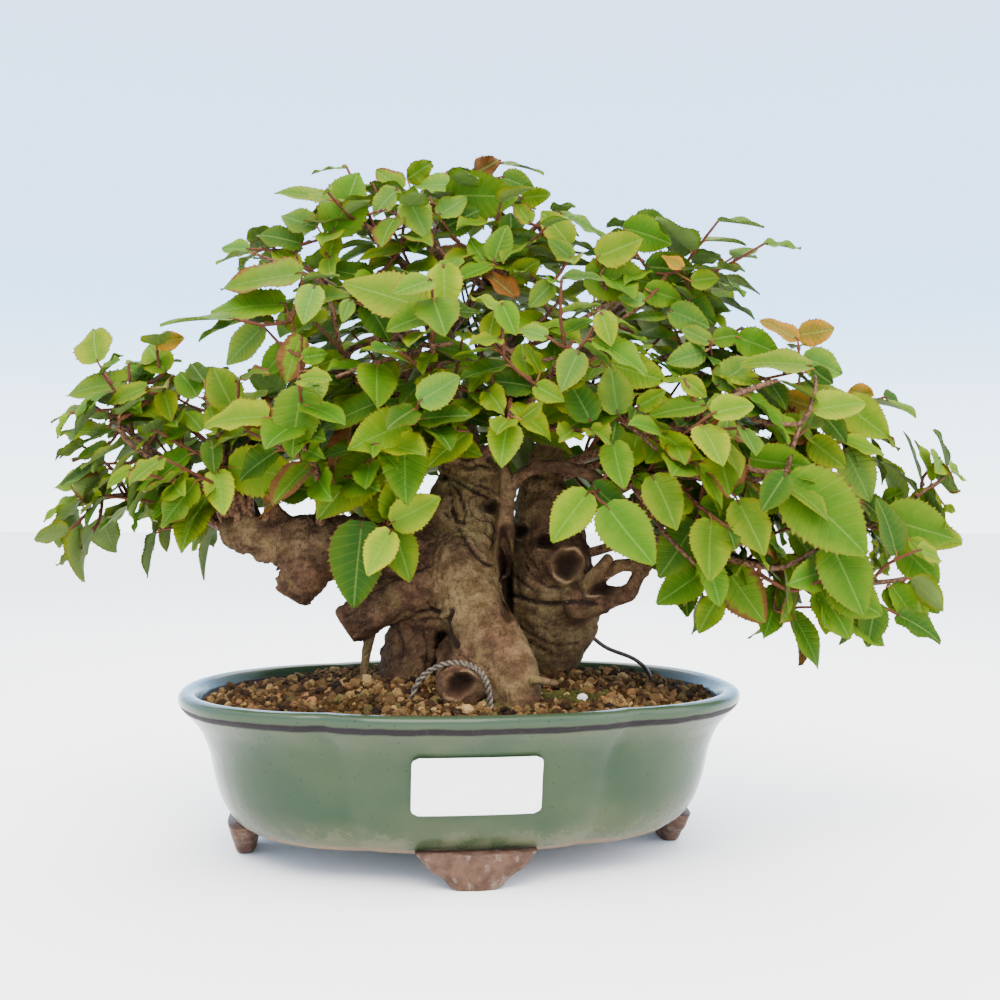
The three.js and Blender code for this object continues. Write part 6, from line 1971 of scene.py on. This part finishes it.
def paint_bark():
    """Beige bark, redder and darker on stubs, with painted shade in creases and hollows, a painted
    highlight on raised bark, dark lines, specks, scratches and pale patches.
    """
    paint = Paint("hornbeam_bark")
    height = paint.height()
    patch = paint.step(paint.noise(0.16, 5.0, rough=0.6), 0.35, 0.65)
    fine = paint.noise(0.9, 5.0, rough=0.65)
    beige = paint.mix(patch, (0.086, 0.05, 0.018), (0.165, 0.108, 0.047))
    brown = paint.mix(patch, (0.033, 0.015, 0.007), (0.1, 0.05, 0.024))
    red = paint.step(paint.plus(paint.attribute("tone"), paint.wander(0.045, 4.0), 1.6), 0.2, 0.8)
    colour = paint.mix(red, beige, brown)
    colour = paint.tint(paint.step(fine, 0.38, 0.7, 0.0, 0.6), colour, (0.42, 0.34, 0.28))
    moss = paint.step(paint.noise(0.08), 0.55, 0.7, 0.0, 0.3)
    some_lines = paint.step(paint.noise(0.05, 1.0), 0.5, 0.58, 0.0, 0.5)
    some_lines = paint.times(some_lines, paint.step(height, 95.0, 112.0, 0.25, 1.0))
    line = paint.times(paint.contours(0.05, 9.0, 0.035), some_lines)
    # dark: painted shade in the bark's grooves and low places, with the crumbs' own dark colour
    dark = paint.step(paint.attribute("dark"), 0.2, 0.9, 0.0, 0.9)
    # proud: raised bark painted lighter, a painted highlight on the high relief
    proud = paint.step(paint.attribute("relief"), 1.0, 2.6, 0.0, 0.35)
    scratch = paint.noise(1.4, 3.0, (1.0, 1.0, 0.14))
    specks = paint.spots(0.95, 0.1, 0.2)
    some_specks = paint.times(specks, paint.step(paint.noise(0.2, 2.0), 0.42, 0.58, 0.0, 0.8))
    pale = paint.step(paint.noise(1.2, 2.0, rough=0.7), 0.66, 0.74, 0.0, 0.45)
    callus = paint.step(paint.attribute("callus"), 0.35, 0.9, 0.0, 0.75)
    near_soil = paint.step(height, 74.0, 64.0, 0.0, 0.5)
    colour = paint.cover(
        colour,
        (moss, (0.075, 0.07, 0.012)),
        (line, (0.035, 0.016, 0.007)),
        (dark, (0.012, 0.006, 0.003)),
        (proud, (0.21, 0.15, 0.085)),
        (paint.step(scratch, 0.62, 0.7, 0.0, 0.6), (0.03, 0.014, 0.006)),
        (some_specks, (0.014, 0.007, 0.004)),
        (pale, (0.28, 0.21, 0.125)),
        (paint.times(paint.attribute("cut"), 0.7), (0.07, 0.038, 0.018)),
        (callus, (0.24, 0.145, 0.075)),
        # Hollows and the cleft: dark rotten wood with painted shade
        (paint.attribute("hollow"), paint.mix(fine, (0.003, 0.002, 0.001), (0.03, 0.012, 0.006))),
        (near_soil, (0.05, 0.02, 0.009)),
    )
    rough = fine
    for mark, depth in ((specks, 0.5), (line, 1.2), (scratch, 0.6)):
        rough = paint.plus(rough, mark, -depth)
    return paint.finish(paint.surface(colour, 0.8, paint.bump(rough, 0.8), 0.1))


# Heights on the pot: where the deep glaze rises and falls, the dark line under the lip, the lime near the
# foot and the bare edge below the glaze
DEEP_GLAZE = ((18.0, 32.0), (46.0, 60.0))
LIP_LINE = ((57.9, 58.9), (60.5, 61.3))
LIP_FROM = (RIM_HEIGHT - 4.5, RIM_HEIGHT - 3.0)
LIME_BELOW = (27.0, 14.0)
BARE_BELOW = (14.6, 13.4)


def paint_glaze():
    """Green glaze, olive where thin, with a dark line under the lip, specks and lime near the foot."""
    paint = Paint("glaze")
    height = paint.height()
    wobble = paint.wander(0.12, 3.0)
    level = paint.plus(height, wobble, 3.0)
    cloud = paint.step(paint.noise(0.03), 0.35, 0.65)
    deep = paint.mix(cloud, (0.0185, 0.037, 0.0165), (0.0275, 0.0455, 0.0195))
    thin = paint.mix(cloud, (0.035, 0.047, 0.021), (0.042, 0.055, 0.0245))
    body = paint.band(paint.plus(height, paint.wander(0.05, 2.0), 30.0), *DEEP_GLAZE)
    line = paint.band(paint.plus(height, wobble, 1.2), *LIP_LINE)
    ragged = paint.step(paint.noise(0.5, 4.0, rough=0.7), 0.3, 0.45, 0.75, 1.0)
    low = paint.step(height, *LIME_BELOW)
    lime = paint.plus(paint.noise(0.09, 6.0, rough=0.65), low, 0.1)
    lime = paint.times(low, paint.step(lime, 0.46, 0.8))
    bare = paint.step(level, *BARE_BELOW)
    colour = paint.cover(
        thin,
        (body, deep),
        (paint.step(level, *LIP_FROM, 0.0, 0.8), (0.023, 0.041, 0.021)),
        (paint.times(line, ragged), (0.005, 0.002, 0.0035)),
        (paint.times(paint.spots(0.33, 0.07, 0.13), 0.8), (0.009, 0.008, 0.006)),
        (paint.times(lime, 0.45), (0.19, 0.165, 0.1)),
        (bare, (0.16, 0.11, 0.07)),
    )
    matt = paint.calc("MAXIMUM", paint.calc("MAXIMUM", lime, bare), line)
    normal = paint.bump(paint.noise(0.12, 2.0), 0.2)
    return paint.finish(paint.surface(colour, paint.plus(0.17, matt, 0.5), normal, 0.2))


def paint_clay():
    """Bare red-brown clay of the feet, with a pale bloom of lime."""
    paint = Paint("bare_clay")
    cloud = paint.step(paint.noise(0.25, 4.0, rough=0.6), 0.3, 0.7)
    bloom = paint.step(paint.noise(0.3, 5.0, (1.0, 1.0, 0.5), rough=0.7), 0.52, 0.68, 0.0, 0.4)
    colour = paint.mix(cloud, (0.05, 0.022, 0.012), (0.1, 0.048, 0.027))
    colour = paint.mix(bloom, colour, (0.28, 0.22, 0.17))
    return paint.finish(paint.surface(colour, 0.55, paint.bump(paint.noise(0.8, 4.0), 0.4), 0.2))


def paint_granule():
    """Each granule in its own colour, with dark grains."""
    paint = Paint("soil_granule")
    fine = paint.noise(1.8, 4.0, rough=0.7)
    colour = paint.tint(paint.step(fine, 0.35, 0.65, 0.0, 0.75), paint.own_colour(), (0.4, 0.34, 0.3))
    return paint.finish(paint.surface(colour, 0.95, paint.bump(fine, 0.6), 0.08))


# Plain materials: name, the two colours, roughness, scale of the noise, relief, shine and metal
PLAIN = {
    "soil": ("soil_dark", ((0.016, 0.008, 0.003), (0.055, 0.028, 0.01)), 0.95, 0.5, 1.2, 0.0, 0.0),
    "paper": ("label_paper", ((0.93, 0.875, 0.855), (0.955, 0.905, 0.885)), 0.6, 0.2, 0.05, 0.5, 0.0),
    "wire": ("wire_grey", ((0.04, 0.028, 0.018), (0.13, 0.1, 0.07)), 0.6, 0.8, 0.2, 0.2, 0.0),
    "dark_wire": ("wire_dark", ((0.03, 0.022, 0.018), (0.08, 0.06, 0.045)), 0.4, 0.5, 0.1, 0.5, 0.7),
    "mesh": ("screen_plastic", ((0.02, 0.02, 0.02), (0.04, 0.04, 0.04)), 0.5, 0.3, 0.1, 0.5, 0.0),
    "floor": ("floor_pale", ((0.96, 0.94, 0.9), (0.97, 0.95, 0.915)), 0.9, 0.01, 0.0, 0.0, 0.0),
}


def paint_plain(name, colours, roughness, scale, relief, shine, metal):
    """A surface that wanders between two colours."""
    paint = Paint(name)
    colour = paint.mix(paint.step(paint.noise(scale, 4.0, rough=0.6), 0.3, 0.7), *colours)
    normal = paint.bump(paint.noise(scale * 3, 4.0), relief)
    return paint.finish(paint.surface(colour, roughness, normal, shine, metal))


def make_materials():
    made = {name: paint_plain(*values) for name, values in PLAIN.items()}
    made.update(
        leaf=paint_leaf(), twig=paint_twig(), bark=paint_bark(), glaze=paint_glaze(), clay=paint_clay(),
        granule=paint_granule(),
    )
    return made


# The room's light: the tent's colour by the height of the direction, as its sine, and lamps with their
# places, widths and powers
SKY = (
    (0.0, (0.86, 0.97, 1.0)), (0.04, (0.76, 0.92, 1.0)), (0.17, (0.35, 0.6, 0.92)),
    (0.38, (0.38, 0.52, 0.77)), (0.6, (0.45, 0.56, 0.76)), (0.85, (1.0, 1.0, 1.0)),
)
SKY_STRENGTH = 5.0
LAMP_COLOUR = (1.0, 0.9, 0.76)
LAMPS = (
    ("key", (-0.25, -0.75, 1.15), 0.9, 34), ("fill", (0.95, -0.55, 0.6), 0.8, 9),
    ("back", (0.1, 0.9, 1.0), 0.9, 12),
)
FLOOR_HALF = 12.0


def make_floor():
    mesh = bpy.data.meshes.new("floor")
    corners = [(x * FLOOR_HALF, y * FLOOR_HALF, 0) for x, y in ((-1, -1), (1, -1), (1, 1), (-1, 1))]
    mesh.from_pydata(corners, [], [(0, 1, 2, 3)])
    mesh.materials.append(materials["floor"])
    link("floor", mesh)


def make_lamps():
    """Square lamps that all point at the middle of the tree."""
    middle = Vector((POT_MIDDLE.x, POT_MIDDLE.y, EYE_HEIGHT * MM))
    for name, place, width, power in LAMPS:
        light = bpy.data.lights.new(name, "AREA")
        light.shape = "SQUARE"
        light.size = width
        light.energy = power
        light.color = LAMP_COLOUR
        lamp = link(name, light)
        lamp.location = place
        lamp.rotation_euler = (middle - Vector(place)).to_track_quat("-Z", "Y").to_euler()


def make_world():
    """A bright tent: white at the horizon and pale blue above it."""
    world = bpy.data.worlds.new("studio")
    world.use_nodes = True
    nodes = world.node_tree.nodes
    links = world.node_tree.links
    parts = nodes.new("ShaderNodeSeparateXYZ")
    ramp = nodes.new("ShaderNodeValToRGB")
    links.new(nodes.new("ShaderNodeTexCoord").outputs["Generated"], parts.inputs[0])
    links.new(parts.outputs[2], ramp.inputs[0])
    stops = ramp.color_ramp.elements
    while len(stops) < len(SKY):
        stops.new(0.5)
    for stop, (height, colour) in zip(stops, SKY):
        stop.position = height
        stop.color = (*colour, 1)
    links.new(ramp.outputs[0], nodes["Background"].inputs["Color"])
    nodes["Background"].inputs["Strength"].default_value = SKY_STRENGTH
    bpy.context.scene.world = world


def make_camera():
    """The camera stands where the photographer's did."""
    camera = bpy.data.cameras.new("photo_eye")
    camera.lens = LENS
    camera.sensor_width = SENSOR
    eye = link("photo_eye", camera)
    place = to_frame(seen(EYE_OFFSET, EYE_HEIGHT, -EYE_DISTANCE))[0].tolist()
    forward = Vector(seen_way(0, math.sin(EYE_PITCH), math.cos(EYE_PITCH)))
    turn = forward.to_track_quat("-Z", "Y").to_matrix() @ Matrix.Rotation(EYE_ROLL, 3, "Z")
    eye.matrix_world = Matrix.Translation(place) @ turn.to_4x4()
    bpy.context.scene.camera = eye


def keep_node(name, material):
    """A CAD node that stays as it is, with its material."""
    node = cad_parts[name]
    node.data.materials.clear()
    node.data.materials.append(material)


materials = make_materials()
make_foliage()
make_trunk()
make_pot()
make_label()
make_soil()
make_wires()
keep_node("soil", materials["soil"])
for screen in ("drain_screen_left", "drain_screen_right"):
    keep_node(screen, materials["mesh"])
make_floor()
make_lamps()
make_world()
make_camera()
